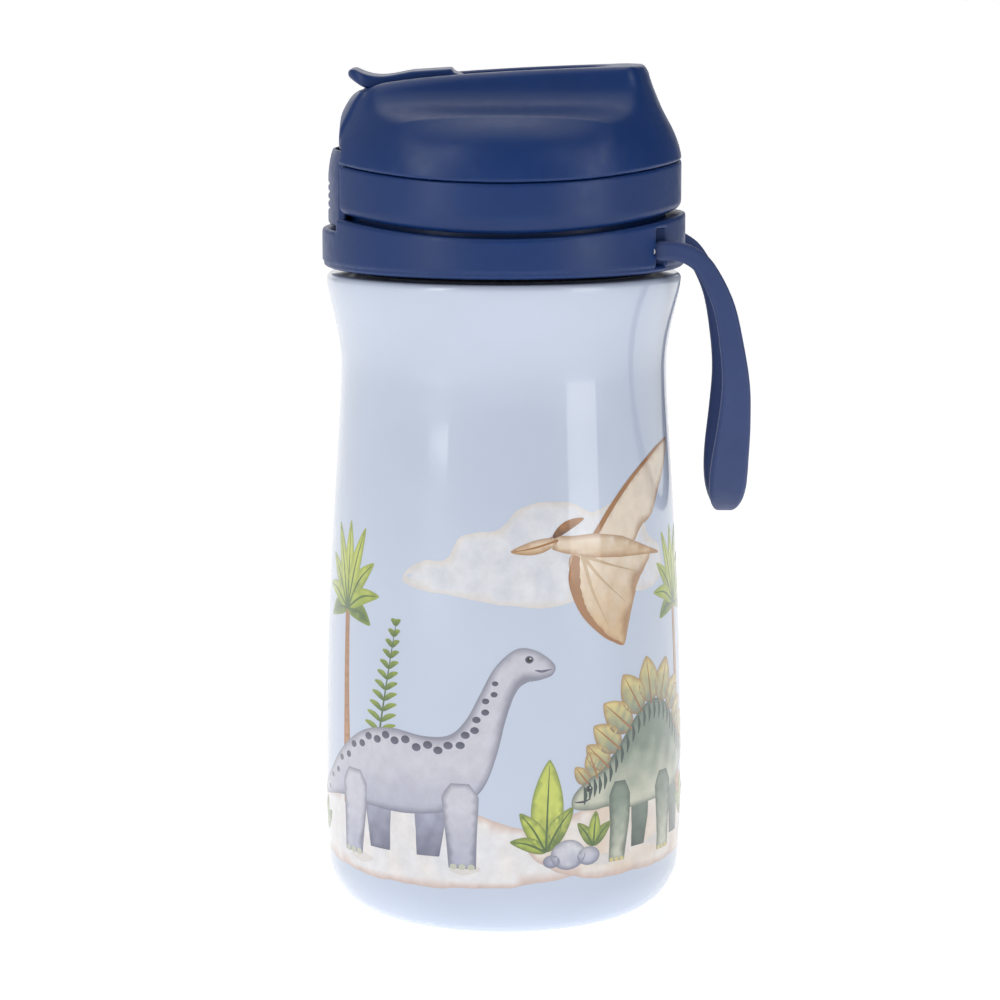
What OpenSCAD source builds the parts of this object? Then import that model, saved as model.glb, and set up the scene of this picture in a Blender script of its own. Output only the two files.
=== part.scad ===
// Children's insulated drink bottle: a double-wall steel body, a screw lid with a thumb flap over
// a fold-up spout, a press catch, and a carry loop on a collar. Millimetres, +Z up, and the origin
// is the centre of the base. The thumb tab points along -X and the carry loop hangs at +X.

/* [Bottle body] */
// Height of the shoulder that the lid stands over
shoulder_z = 136.8; // [110:0.1:190]
// Radius of the flat part of the base
base_flat_r = 25.9; // [20:0.1:32]
// Radius of the rounded corner at the foot
corner_r = 11.9; // [8:0.1:14]
// Widest radius of the body
body_max_r = 38.4; // [36:0.1:48]
// Height of the widest point
body_max_z = 28; // [22:1:40]
// Radius of the waist below the lid
waist_r = 34.75; // [33.5:0.05:42]
// Distance from the shoulder down to the waist
waist_drop = 19.8; // [16:0.1:30]
// Thickness of the outer steel wall
shell_wall = 0.6; // [0.4:0.05:1]
// Thickness of the inner steel wall
liner_wall = 0.5; // [0.4:0.05:0.8]
// Gap between the two walls
vacuum_gap = 2; // [1:0.1:3]
// Height of the liner's floor above the table
liner_floor_z = 6; // [4.5:0.1:9]
// Corner radius of the liner's floor
liner_corner_r = 9; // [6:0.5:12]
// Radius of the welded base disc
base_disc_r = 24; // [12:0.5:25]
// Thickness of the base disc
base_disc_t = 1; // [0.6:0.1:1.5]
// Radius of the vacuum getter capsule
getter_r = 6; // [4:0.5:9]
// Thickness of the vacuum getter capsule
getter_t = 1.6; // [1:0.1:2.5]

/* [Neck and thread] */
// Outside radius of the threaded neck
neck_r = 30.6; // [26:0.1:31.2]
// Height of the neck above the shoulder
neck_h = 12.7; // [11:0.1:16]
// Thickness of the rolled lip
lip_t = 0.7; // [0.5:0.1:1.2]
// Rise of the thread for one turn
thread_pitch = 4; // [3:0.5:5]
// How far each thread stands out of its wall
thread_depth = 1; // [0.8:0.1:1.2]
// Thickness of the neck gasket
gasket_t = 1.2; // [0.8:0.1:2]
// Width of the neck gasket
gasket_w = 3; // [2:0.1:4]

/* [Lid] */
// Outside radius of the lid's band
lid_r = 37.5; // [36.5:0.1:48]
// Thickness of the lid's plastic walls
lid_wall = 2.1; // [1.6:0.1:2.4]
// Thickness of the deck that closes the lid
deck_t = 2; // [1.5:0.1:3]
// Gap between the lid's band and the collar
band_gap = 0.6; // [0.4:0.1:3]
// Height of the band at the front, from its lower edge to the seam
band_h = 10.6; // [8.5:0.1:14]
// How much the band's lower edge rises towards the ends of the lid
band_rise = 3.6; // [0.5:0.1:5]
// How much the seam rises towards the ends of the lid
seam_rise = 3.1; // [1:0.1:5]
// Height of the dome's top above the seam, at its high end
dome_h = 23; // [22:0.1:30]
// How much lower the dome's top is at the thumb end
dome_slope_drop = 3.7; // [2:0.1:5]
// Half width of the raised spine at its top
spine_half_w = 15.2; // [14:0.1:20]
// Half width of the channel along the top
channel_half_w = 10.5; // [9:0.1:12]
// Depth of the open recess behind the flap
recess_depth = 6.2; // [5:0.1:7]
// Length of the open recess behind the flap's pin
recess_len = 32; // [30:0.5:36]

/* [Collar and carry loop] */
// Height of the collar at the front
collar_h = 8.3; // [7:0.1:12]
// How far the collar stands out past the lid
collar_proud = 0.9; // [0.3:0.1:3]
// Distance from the top of the neck down to the collar's lower edge
collar_drop = 11.5; // [10:0.1:14]
// How much the collar's top edge rises towards the ends
collar_rise = 3.2; // [1:0.1:5]
// Distance from the middle plane to each strand of the loop
strand_y = 20.2; // [16:0.1:22]
// Thickness of the strap
strap_t = 2.8; // [2:0.1:3]
// Width of the strap at its ends
strap_end_w = 4; // [3:0.1:4.4]
// Width of the strap where it is widest
strap_wide_w = 9.6; // [7:0.1:12]
// Width of the strap at the bottom of the loop, where it is pinched to a rounded tip
strap_tip_w = 4.4; // [3.5:0.1:7]
// Length of the loop below its pins
strap_drop = 57; // [45:1:80]
// Radius of the loop's two pins
strap_pin_r = 0.8; // [0.7:0.05:1]

/* [Flap] */
// Distance from the lid's axis to the flap's pin, towards the thumb end
flap_pin_x = 10; // [8:0.1:12]
// Radius of the flap's pin
flap_pin_r = 1; // [0.8:0.05:1.2]
// Thickness of the thumb tab
tab_t = 2.6; // [2:0.1:3]
// How far the flap stands above the rims at its pin
flap_proud = 1.1; // [0.5:0.1:2]
// Gap between the flap and the channel's walls
flap_side_gap = 0.5; // [0.3:0.1:1]
// Distance from the lid's axis to the thumb tab's tip
tab_reach = 32.8; // [30:0.1:36]

/* [Spout and straw] */
// Distance from the lid's axis to the spout's pivot, towards the thumb end
spout_x = 13; // [12:0.1:15]
// Radius of the spout's barrel
barrel_r = 5; // [4.5:0.1:5.5]
// Radius of the spout's pivots
trunnion_r = 1.8; // [1.2:0.1:2.2]
// Outside radius of the spout's nozzle
nozzle_r = 3.2; // [2.8:0.1:3.6]
// Length of the nozzle from the pivot
nozzle_len = 14; // [12:0.1:15]
// Radius of the water passage
passage_r = 1.8; // [1.4:0.1:2]
// Thickness of the silicone mouth tip
tip_t = 1; // [0.8:0.1:1.2]
// Outside radius of the straw connector
connector_r = 2.9; // [2.5:0.1:3.2]
// Thickness of the straw's wall
straw_wall = 1; // [0.6:0.1:1.4]
// Gap between the straw's foot and the liner's floor
straw_foot_gap = 3; // [2:0.5:10]

/* [Latch] */
// Half width of the latch button
button_half_w = 15; // [13:0.1:16]
// Thickness of the latch button's face
button_t = 1.6; // [1.4:0.1:1.8]
// Height of the latch button
button_h = 16; // [15:0.1:17]
// Radius of the latch pin
latch_pin_r = 0.7; // [0.5:0.05:0.8]
// Radius of the latch spring's coil
latch_spring_r = 1.7; // [1.4:0.1:1.9]

/* [Hidden] */

paint = "#c3d0de";
navy = "#3c4b7d";
steel = "#b9bcc0";
silicone = "#e6e8ec";

fine = 96;
coarse = 48;
wave_fn = 720;
far = 200;

// Small clearances
seal_gap = 0.05;
run_gap = 0.05;
move_gap = 0.5;
window_gap = 0.4;

// Heights of the stack above the shoulder
waist_z = shoulder_z - waist_drop;
neck_top_z = shoulder_z + neck_h;
lip_z = neck_top_z + lip_t;
deck_z = lip_z + gasket_t + 2 * seal_gap;
deck_top_z = deck_z + deck_t;
collar_z = neck_top_z - collar_drop;
collar_top_z = collar_z + collar_h;
band_z = collar_top_z + band_gap;
seam_z = band_z + band_h;
dome_top_z = seam_z + dome_h;
skirt_z = collar_z + 0.4;

// Radii of the collar, the rim and the lid's threaded skirt
collar_r = lid_r + collar_proud;
rim_step = 0.7;
rim_r = collar_r - rim_step;
rim_round = 1.2;
liner_neck_r = neck_r - shell_wall;
thread_gap = 0.4;
skirt_in_r = neck_r + thread_depth + thread_gap;
skirt_r = skirt_in_r + lid_wall;

// A point on a cubic curve, and the points after its start
function cubic(a, b, c, d, t) =
    a * pow(1 - t, 3) + 3 * b * pow(1 - t, 2) * t + 3 * c * (1 - t) * pow(t, 2) + d * pow(t, 3);
function curve(a, b, c, d, n) = [for (i = [1:n]) cubic(a, b, c, d, i / n)];
function arc(cx, cy, r, a0, a1, n) =
    [for (i = [0:n]) [cx + r * cos(a0 + (a1 - a0) * i / n), cy + r * sin(a0 + (a1 - a0) * i / n)]];
function reversed(list) = [for (i = [len(list) - 1:-1:0]) list[i]];
function inset_r(list, d) = [for (p = list) [p[0] - d, p[1]]];

// Body outline above the foot: belly, waist and the flare up to the rim
belly_low_r = base_flat_r + corner_r;
rim_z = shoulder_z - rim_round;
function belly(z0) = curve([belly_low_r, z0], [body_max_r - 0.2, z0 + 5],
    [body_max_r, body_max_z - 7], [body_max_r, body_max_z], 5);
body_rise = waist_z - body_max_z;
function waist_curve() = curve([body_max_r, body_max_z], [body_max_r, body_max_z + 0.52 * body_rise],
    [waist_r, waist_z - 0.15 * body_rise], [waist_r, waist_z], 12);
flare_rise = rim_z - waist_z;
function flare_curve() = curve([waist_r, waist_z], [waist_r, waist_z + 0.43 * flare_rise],
    [rim_r, rim_z - 0.2 * flare_rise], [rim_r, rim_z], 10);
function body_outline(inset) = concat(
    arc(base_flat_r, corner_r, corner_r - inset, -90, 0, 10),
    inset_r(concat(belly(corner_r), waist_curve(), flare_curve()), inset));

module outer_shell() {
    color(paint)
    union() {
        rotate_extrude($fn = fine)
        polygon(concat(
            [[base_disc_r, 0]],
            body_outline(0),
            arc(rim_r - rim_round, rim_z, rim_round, 15, 90, 5),
            [[neck_r, shoulder_z], [neck_r, neck_top_z], [liner_neck_r, neck_top_z],
                [liner_neck_r, shoulder_z - shell_wall]],
            reversed(arc(rim_r - rim_round, rim_z, rim_round - shell_wall, 15, 90, 5)),
            reversed(body_outline(shell_wall)),
            [[base_disc_r, shell_wall]]));
        thread_ridges(neck_r, 1, ext_thread_z, ext_turns);
    }
}

// The liner follows the shell's inside, then narrows to the neck
liner_inset = shell_wall + vacuum_gap;
liner_low_r = belly_low_r - liner_inset;
liner_cone_z = shoulder_z - 4;
liner_floor_r = liner_low_r - liner_corner_r;
function liner_outline(inset) = concat(
    arc(liner_floor_r, liner_floor_z + liner_corner_r, liner_corner_r - inset, -90, 0, 8),
    inset_r(concat(belly(liner_floor_z + liner_corner_r), waist_curve()), liner_inset + inset),
    [[liner_neck_r - inset, liner_cone_z]]);

module inner_liner() {
    color(steel)
    rotate_extrude($fn = fine)
    polygon(concat(
        liner_outline(0),
        [[liner_neck_r, neck_top_z], [neck_r, neck_top_z], [neck_r, lip_z],
            [liner_neck_r - liner_wall, lip_z]],
        reversed(liner_outline(liner_wall))));
}

module liner_floor() {
    color(steel)
    translate([0, 0, liner_floor_z])
    cylinder(r = liner_floor_r, h = liner_wall, $fn = fine);
}

module base_disc() {
    color(steel)
    cylinder(r = base_disc_r, h = base_disc_t, $fn = fine);
}

module vacuum_getter() {
    color("silver")
    translate([0, 0, base_disc_t])
    rotate_extrude($fn = coarse)
    polygon([[0, 0], [getter_r, 0], [getter_r, getter_t * 0.6], [getter_r - 1, getter_t],
        [getter_r - 2, getter_t], [getter_r - 3, getter_t * 0.7], [0, getter_t * 0.7]]);
}

// An interrupted single-start thread: short ridges, each tilted to the lead of the thread.
// side is 1 for ridges that stand outwards from the radius, and -1 for ones that stand inwards.
ext_turns = 1.25;
int_turns = 1;
thread_drop = 8.3;
ext_thread_z = neck_top_z - thread_drop;
int_thread_z = ext_thread_z - thread_pitch / 2;
ridge_base = 1.7;
ridge_crest = 0.9;
ridge_root = 0.25;
ridge_angle = 38;
ridges_per_turn = 8;

module thread_ridges(radius, side, z0, turns) {
    lead_tilt = atan(thread_pitch / (2 * PI * radius));
    for (i = [0:round(turns * ridges_per_turn) - 1])
    rotate([0, 0, 360 * i / ridges_per_turn])
    translate([0, 0, z0 + thread_pitch * i / ridges_per_turn])
    rotate([lead_tilt, 0, 0])
    rotate([0, 0, -ridge_angle / 2])
    rotate_extrude(angle = ridge_angle, $fn = fine)
    polygon([[radius - side * ridge_root, -ridge_base / 2], [radius + side * thread_depth, -ridge_crest / 2],
        [radius + side * thread_depth, ridge_crest / 2], [radius - side * ridge_root, ridge_base / 2]]);
}

gasket_r = neck_r + 0.6;
module neck_gasket() {
    color(silicone)
    translate([0, 0, lip_z + seal_gap])
    difference() {
        cylinder(r = gasket_r, h = gasket_t, $fn = fine);
        translate([0, 0, -1]) cylinder(r = gasket_r - gasket_w, h = gasket_t + 2, $fn = fine);
    }
}

// Pieces of outline pushed through the model: a side view along Y, and an end view along X
module side_prism(points, half_w) {
    rotate([90, 0, 0]) linear_extrude(height = 2 * half_w, center = true) polygon(points);
}
module end_prism(points, x0, x1) {
    translate([x0, 0, 0]) rotate([90, 0, 90]) linear_extrude(height = x1 - x0) polygon(points);
}
module cross_rod(r, half_w, x, z) {
    translate([x, 0, z]) rotate([90, 0, 0]) cylinder(r = r, h = 2 * half_w, center = true, $fn = coarse);
}
module block(x0, x1, half_w, z0, z1) {
    translate([x0, -half_w, z0]) cube([x1 - x0, 2 * half_w, z1 - z0]);
}
module pipe(r_out, r_in, z0, z1) {
    translate([0, 0, z0])
    difference() {
        cylinder(r = r_out, h = z1 - z0, $fn = coarse);
        translate([0, 0, -1]) cylinder(r = r_in, h = z1 - z0 + 2, $fn = coarse);
    }
}

// The wavy edges of the lid and collar rise evenly towards both ends, along X
function wave_r(rise) = (lid_r * lid_r + rise * rise) / (2 * rise);
module above_wave(z, rise) {
    translate([0, 0, z + wave_r(rise)])
    rotate([90, 0, 0])
    cylinder(r = wave_r(rise), h = far, center = true, $fn = wave_fn);
}

module below_wave(z, rise, top_z) {
    difference() {
        block(-far, far, far, z - 12, top_z);
        above_wave(z, rise);
    }
}

// Latch places
latch_inset = 5.3;
latch_rise = 13.1;
button_rise = 0.5;
button_sink = 0.4;
latch_x = -(lid_r - latch_inset);
latch_z = band_z + latch_rise;
button_z = collar_top_z + button_rise;
button_top_z = button_z + button_h;
button_r = lid_r - button_sink;
button_in_r = button_r - button_t;
button_travel_r = skirt_r + 0.1;
latch_ear_half_w = 10.5;
latch_ear_t = 1.8;
knuckle_half_w = latch_ear_half_w - latch_ear_t - 0.4;
prong_y = 6;
prong_t = 1.5;

module latch_window(z0, z1) {
    difference() {
        block(-far, 0, button_half_w + window_gap, z0, z1);
        translate([0, 0, z0 - 1]) cylinder(r = button_travel_r, h = z1 - z0 + 2, $fn = fine);
    }
}

// Straw and valve places
straw_x = -spout_x;
valve_x = 14;
valve_y = 9;
valve_stem_r = 1.5;

module lid_base() {
    band_edge = 1.6;
    color(navy)
    union() {
        difference() {
            union() {
                difference() {
                    rotate_extrude($fn = fine)
                    polygon([[skirt_r - 1, band_z], [lid_r - band_edge, band_z],
                        [lid_r - 0.45 * band_edge, band_z + 0.25 * band_edge],
                        [lid_r, band_z + band_edge + seam_rise * 0.6], [lid_r, seam_z + seam_rise],
                        [lid_r - lid_wall, seam_z + seam_rise], [lid_r - lid_wall, deck_z],
                        [skirt_r - 1, deck_z]]);
                    above_wave(seam_z, seam_rise);
                    below_wave(band_z, band_rise, band_z + band_rise);
                }
                translate([0, 0, deck_z]) cylinder(r = lid_r - lid_wall + 0.5, h = deck_t, $fn = fine);
                pipe(skirt_r, skirt_in_r, skirt_z, deck_z + 1);
            }
            latch_window(skirt_z - 1 + collar_h, seam_z + seam_rise + 1);
            translate([straw_x, 0, deck_z - 1]) cylinder(r = connector_r, h = deck_t + 2, $fn = coarse);
            translate([valve_x, valve_y, deck_z - 1])
            cylinder(r = valve_stem_r, h = deck_t + 2, $fn = coarse);
        }
        thread_ridges(skirt_in_r, -1, int_thread_z, int_turns);
        latch_posts();
    }
}

// Two ears that hold the latch pin and the wall that the latch spring pushes against
spring_wall_x = latch_x + 3.8;
module latch_posts() {
    for (side = [-1, 1])
    difference() {
        translate([latch_x - 1.05, side * (latch_ear_half_w - latch_ear_t / 2) - latch_ear_t / 2, deck_z + 1])
        cube([2.5, latch_ear_t, latch_z + 1.5 - deck_z - 1]);
        cross_rod(latch_pin_r, latch_ear_half_w + 1, latch_x, latch_z);
    }
    block(spring_wall_x, spring_wall_x + 1.5, 3, deck_z + 1, pocket_floor_z - pocket_floor_t - 0.3);
}

// Dome outlines, above the seam
dome_left_inset = 3.2;
dome_end_inset = 6.7;
dome_left_x = -(lid_r - dome_left_inset);
dome_low_z = dome_top_z - dome_slope_drop;
dome_end_x = lid_r - dome_end_inset;
crown_x0 = dome_left_x + 9.3;
crown_x1 = dome_end_x - 1.5;
crown_a = [crown_x0, dome_low_z];
crown_b = [crown_x0 + 10, dome_low_z + 0.49 * dome_slope_drop];
crown_c = [crown_x1 - 24, dome_top_z - 0.24 * dome_slope_drop];
crown_d = [crown_x1, dome_top_z];
function lowered(list, d) = [for (p = list) [p[0], p[1] - d]];
function spine_side(d) = concat(
    [[dome_left_x + d, seam_z - 2]],
    curve([dome_left_x + d, seam_z + 8.5 - d], [dome_left_x + d, dome_low_z - 4.3 - d],
        [dome_left_x + 2.8 + d, dome_low_z - 1.8 - d], [crown_x0, dome_low_z - d], 8),
    lowered(curve(crown_a, crown_b, crown_c, crown_d, 8), d),
    curve([dome_end_x - d, dome_top_z - 0.9 - d], [dome_end_x + 0.8 - d, dome_top_z - 6 - d],
        [lid_r - 0.7 - d, seam_z + 10.5], [lid_r - 0.2 - d, seam_z - 2], 10));
function end_ring(d) = concat(
    [[0, seam_z - 2], [0, dome_top_z + 1], [dome_end_x + 0.1 - d, dome_top_z + 1]],
    curve([dome_end_x + 0.1 - d, dome_top_z - 0.9 - d], [dome_end_x + 0.9 - d, dome_top_z - 6 - d],
        [lid_r - 0.6 - d, seam_z + 10.5], [lid_r - 0.1 - d, seam_z - 2], 10));
spine_foot_y = 28;
spine_foot_z = seam_z + 12;
function spine_half(d) = concat(
    [[spine_half_w - d, dome_top_z + 1 - d]],
    curve([spine_half_w - d, dome_top_z - 0.5 - d], [spine_half_w + 0.8 - d, dome_top_z - 6.5 - d],
        [spine_foot_y - 8 - d, spine_foot_z + 1.5 - d], [spine_foot_y - d, spine_foot_z - d], 8),
    [[lid_r - d, seam_z - 2]]);
function skirt_curve(d) = concat(
    [[0, seam_z - 2], [lid_r - 0.1 - d, seam_z - 2]],
    curve([lid_r - 0.1 - d, seam_z - 1.5], [lid_r - 0.1 - d, seam_z + 7 - d],
        [lid_r - 3 - d, seam_z + 12.5 - d], [lid_r - 11.5 - d, seam_z + 13 - d], 10),
    [[0, seam_z + 13 - d]]);

function mirrored_y(list) = concat([for (p = list) [-p[0], p[1]]], reversed(list));

// The dome's outer form, or with d the form of its inside
module dome_form(d) {
    union() {
        rotate_extrude($fn = fine) polygon(skirt_curve(d));
        intersection() {
            side_prism(spine_side(d), lid_r);
            end_prism(mirrored_y(spine_half(d)), -lid_r, lid_r);
            rotate_extrude($fn = fine) polygon(end_ring(d));
        }
    }
}

// Flap and pocket places
pin_crown_t = 0.38;
pin_top_z = cubic(crown_a, crown_b, crown_c, crown_d, pin_crown_t)[1];
flap_x = -flap_pin_x;
flap_pin_sink = 2.1;
flap_plate_sink = 3.1;
spout_sink = 6.4;
flap_z = pin_top_z - flap_pin_sink;
flap_knuckle_r = 2.2;
flap_low_z = pin_top_z - flap_plate_sink;
recess_z = pin_top_z - recess_depth;
spout_z = recess_z - spout_sink;
pocket_half_w = 7;
pocket_wall_half_w = 9.6;
hook_room_x = dome_left_x + 1.95;
mouth_x = hook_room_x + 2.9;
pocket_x1 = flap_x + 3;
pocket_floor_z = spout_z - barrel_r - 0.3 - 1.4;
pocket_floor_t = 1.8;
pocket_floor_x = latch_x + 3.2;
prong_x = hook_room_x + 1;
prong_w = 1.2;
hook_w = 0.6;
hook_z = recess_z - 1.7;
hook_top_z = hook_z + 1;

module lid_dome() {
    color(navy)
    difference() {
        union() {
            difference() {
                dome_form(0);
                intersection() {
                    dome_form(lid_wall);
                    translate([0, 0, seam_z - 3]) cylinder(r = lid_r, h = spine_foot_z - seam_z, $fn = fine);
                }
                for (side = [-1, 1]) spine_hollow(side);
                translate([0, 0, seam_z - 3]) cylinder(r = lid_r - lid_wall - 0.2, h = 4, $fn = fine);
            }
            intersection() {
                block(pocket_floor_x, pocket_x1 + 2, pocket_wall_half_w, pocket_floor_z - pocket_floor_t,
                    recess_z - 1);
                dome_form(0.5);
            }
        }
        below_wave(seam_z, seam_rise, seam_z + seam_rise + 1);
        // open recess and flap channel
        block(-lid_r, mouth_x + 1, channel_half_w, flap_low_z - 0.3, dome_top_z + 2);
        block(mouth_x, flap_x + recess_len - channel_half_w, channel_half_w, recess_z, dome_top_z + 2);
        translate([flap_x + recess_len - channel_half_w, 0, recess_z])
        cylinder(r = channel_half_w, h = dome_h, $fn = coarse);
        // spout pocket
        block(mouth_x, pocket_x1, pocket_half_w, pocket_floor_z, dome_top_z + 2);
        block(hook_room_x, mouth_x + 1, pocket_half_w, seam_z, hook_top_z + 0.6);
        cross_rod(trunnion_r + run_gap, pocket_wall_half_w - 0.4, -spout_x, spout_z);
        translate([straw_x, 0, seam_z]) cylinder(r = connector_r + 1.2, h = 8, $fn = coarse);
        // flap pin, latch window and the flat above it
        cross_rod(flap_pin_r, spine_half_w - 2, flap_x, flap_z);
        latch_window(seam_z - 3, button_top_z + window_gap);
        block(-far, latch_x + 2.4, latch_ear_half_w + 0.6, seam_z - 3, button_top_z + window_gap);
        block(-far, dome_left_x, button_half_w, seam_z - 3, seam_z + 13);
    }
}

module spine_hollow(side) {
    inner_y = channel_half_w + lid_wall;
    intersection() {
        dome_form(lid_wall);
        translate([dome_left_x + 9, side > 0 ? inner_y : -inner_y - far, seam_z])
        cube([dome_end_x - dome_left_x - 12, far, flap_low_z - 0.2 - seam_z]);
    }
}

// Collar and carry loop places
strap_pin_inset = 1.4;
strap_pin_back = 0.6;
strap_pin_rise = 4.6;
strap_pin_grip = 0.8;
strap_eye_relief = 0.25;
strap_slot_gap = 0.35;
strap_swing_room = 4.3;
strap_pin_x = sqrt(pow(collar_r - strap_pin_inset, 2) - strand_y * strand_y) - strap_pin_back;
strap_pin_z = collar_z + strap_pin_rise;
strap_pin_half = strap_t / 2 + strap_pin_grip;
strap_eye_r = strap_end_w / 2 - strap_eye_relief;

module strap_collar() {
    collar_edge = 1.6;
    color(navy)
    difference() {
        rotate_extrude($fn = fine)
        polygon(concat(
            [[skirt_r, collar_z], [collar_r - collar_edge, collar_z]],
            arc(collar_r - collar_edge, collar_z + collar_edge, collar_edge, -60, 0, 4),
            [[collar_r, collar_top_z + collar_rise], [skirt_r, collar_top_z + collar_rise]]));
        above_wave(collar_top_z, collar_rise);
        block(-far, 0, button_half_w + 0.6, button_z - 0.5, collar_top_z + collar_rise + 1);
        for (side = [-1, 1]) {
            translate([strap_pin_x - strap_eye_r - 0.5, side * strand_y - strap_t / 2 - strap_slot_gap,
                strap_pin_z - strap_eye_r - 1.4])
            cube([far, strap_t + 2 * strap_slot_gap, 2 * strap_eye_r + strap_swing_room]);
            translate([0, side * strand_y, 0])
            cross_rod(strap_pin_r, strap_pin_half, strap_pin_x, strap_pin_z);
        }
    }
}

module strap_pins() {
    color("silver")
    for (side = [-1, 1])
    translate([0, side * strand_y, 0])
    cross_rod(strap_pin_r, strap_pin_half, strap_pin_x, strap_pin_z);
}

// The loop's route, from one pin round the bottom to the other. Its strands leave the collar
// outwards, bend down and close together below.
function strand_route(side) = let (x = collar_r, z = strap_pin_z, y = side * strand_y, d = strap_drop)
    [[strap_pin_x + 1.6, y, z], [x - 3, y, z], [x + 0.6, y, z - 1.3], [x + 3.6, y, z - 4.2],
        [x + 7.1, y * 0.99, z - 0.2 * d], [x + 9, y * 0.97, z - 0.36 * d],
        [x + 9.9, y * 0.92, z - 0.5 * d], [x + 9.7, y * 0.83, z - 0.64 * d],
        [x + 9.1, y * 0.68, z - 0.78 * d], [x + 8.8, y * 0.48, z - 0.89 * d],
        [x + 8.7, y * 0.24, z - 0.955 * d]];
loop_route = concat(strand_route(-1), [[collar_r + 8.7, 0, strap_pin_z - 0.975 * strap_drop]],
    reversed(strand_route(1)));
loop_mid = (len(loop_route) - 1) / 2;
function loop_width(u) = strap_end_w + (strap_wide_w - strap_end_w) * pow(sin(180 * u), 4)
    - (strap_wide_w - strap_tip_w) * pow(sin(180 * u), 40);
function unit(v) = v / norm(v);
function route_way(i) = unit(loop_route[min(i + 1, len(loop_route) - 1)] - loop_route[max(i - 1, 0)]);
// The strap is a ribbon: its width lies in the plane of the side view, square to the route
function ribbon_wide(i) = let (way = route_way(i), s = i < loop_mid ? 1 : -1)
    i == loop_mid ? [1, 0, 0] : unit([-way[2] * s, 0, way[0] * s]);
function ribbon_ring(i) = let (wide = ribbon_wide(i), thin = unit(cross(route_way(i), wide)),
        w = loop_width(i / (len(loop_route) - 1)) / 2, t = strap_t / 2)
    [for (c = [[-1, -0.5], [-0.8, -1], [0.8, -1], [1, -0.5], [1, 0.5], [0.8, 1], [-0.8, 1], [-1, 0.5]])
        loop_route[i] + wide * w * c[0] + thin * t * c[1]];

module strap_loop() {
    n = len(loop_route) - 1;
    points = [for (i = [0:n]) each ribbon_ring(i)];
    sides = [for (i = [0:n - 1]) for (k = [0:7])
        let (a = 8 * i + k, b = 8 * i + (k + 1) % 8) [a, a + 8, b + 8, b]];
    caps = [[for (k = [0:7]) k], [for (k = [7:-1:0]) 8 * n + k]];
    color(navy)
    difference() {
        union() {
            polyhedron(points, concat(sides, caps), convexity = 8);
            for (side = [-1, 1])
            translate([0, side * strand_y, 0]) {
                cross_rod(strap_eye_r, strap_t / 2, strap_pin_x, strap_pin_z);
                block(strap_pin_x, strap_pin_x + 2.6, strap_t / 2, strap_pin_z - strap_eye_r,
                    strap_pin_z + strap_eye_r);
            }
        }
        for (side = [-1, 1])
        translate([0, side * strand_y, 0])
        cross_rod(strap_pin_r + run_gap, strap_t, strap_pin_x, strap_pin_z);
    }
}

// Flap: a knuckle on the pin, a plate that stands a little proud of the rims, and a raised thumb tab
flap_half_w = channel_half_w - flap_side_gap;
flap_top_z = pin_top_z + flap_proud;
tab_x = -tab_reach;
function flap_outline() = concat(
    [[flap_x, flap_z + 2], [flap_x - 1, flap_top_z], [flap_x - 9, flap_top_z - 0.5]],
    curve([flap_x - 9, flap_top_z - 0.5], [flap_x - 13.5, flap_top_z - 1.2],
        [flap_x - 16.5, flap_top_z - 2.6], [tab_x + 1.8, flap_top_z - 0.1], 8),
    curve([tab_x + 1.8, flap_top_z - 0.1], [tab_x + 0.2, flap_top_z + 0.1],
        [tab_x - 0.2, flap_top_z - 0.9], [tab_x + 0.3, flap_top_z - 1.7], 4),
    curve([tab_x + 0.3, flap_top_z - 1.7], [tab_x + 1.6, flap_top_z - tab_t],
        [tab_x + 3, flap_low_z + 0.3], [tab_x + 5, flap_low_z], 5),
    [[flap_x - 2, flap_low_z], [flap_x, flap_z - 1]]);
tooth_x0 = mouth_x + 1.5;
tooth_z0 = recess_z - 2.9;

module flap() {
    color(navy)
    difference() {
        union() {
            side_prism(flap_outline(), flap_half_w);
            cross_rod(flap_knuckle_r, flap_half_w, flap_x, flap_z);
            for (side = [-1, 1])
            translate([tooth_x0, side * prong_y - prong_t / 2, tooth_z0])
            cube([1.5, prong_t, flap_low_z + 0.5 - tooth_z0]);
        }
        cross_rod(flap_pin_r + run_gap, flap_half_w + 1, flap_x, flap_z);
    }
}

// The pad hangs from the flap into the mouth of the spout pocket
pad_x0 = tooth_x0 + 2.2;
pad_x1 = flap_x - 5;
pad_half_w = 4.8;
module flap_pad() {
    color(silicone)
    difference() {
        block(pad_x0, pad_x1, pad_half_w, recess_z - 0.6, flap_low_z + 0.5);
        side_prism(flap_outline(), flap_half_w);
    }
}

module flap_pin() {
    color("silver")
    cross_rod(flap_pin_r, spine_half_w - 2, flap_x, flap_z);
}

module nozzle_rod(r, x0, x1) {
    translate([x0, 0, spout_z]) rotate([0, 90, 0]) cylinder(r = r, h = x1 - x0, $fn = coarse);
}

// Spout: a barrel that rocks in the pocket, with the nozzle lying towards the thumb end
spout_open = 60;
module spout() {
    color(navy)
    difference() {
        union() {
            cross_rod(barrel_r, pocket_half_w - 0.3, -spout_x, spout_z);
            cross_rod(trunnion_r, pocket_wall_half_w - 0.5, -spout_x, spout_z);
            nozzle_rod(nozzle_r, -spout_x - nozzle_len, -spout_x);
        }
        nozzle_rod(passage_r, -spout_x - nozzle_len - 1, -spout_x);
        translate([-spout_x, 0, spout_z])
        rotate([0, -180 + spout_open, 0])
        cylinder(r = passage_r, h = barrel_r + 1, $fn = coarse);
    }
}

module mouth_tip() {
    color(silicone)
    difference() {
        nozzle_rod(nozzle_r + tip_t, -spout_x - nozzle_len - 0.8, -spout_x - barrel_r - 1.2);
        nozzle_rod(nozzle_r, -spout_x - nozzle_len, -spout_x);
        nozzle_rod(passage_r * 0.8, -spout_x - nozzle_len - 2, -spout_x);
    }
}

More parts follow.
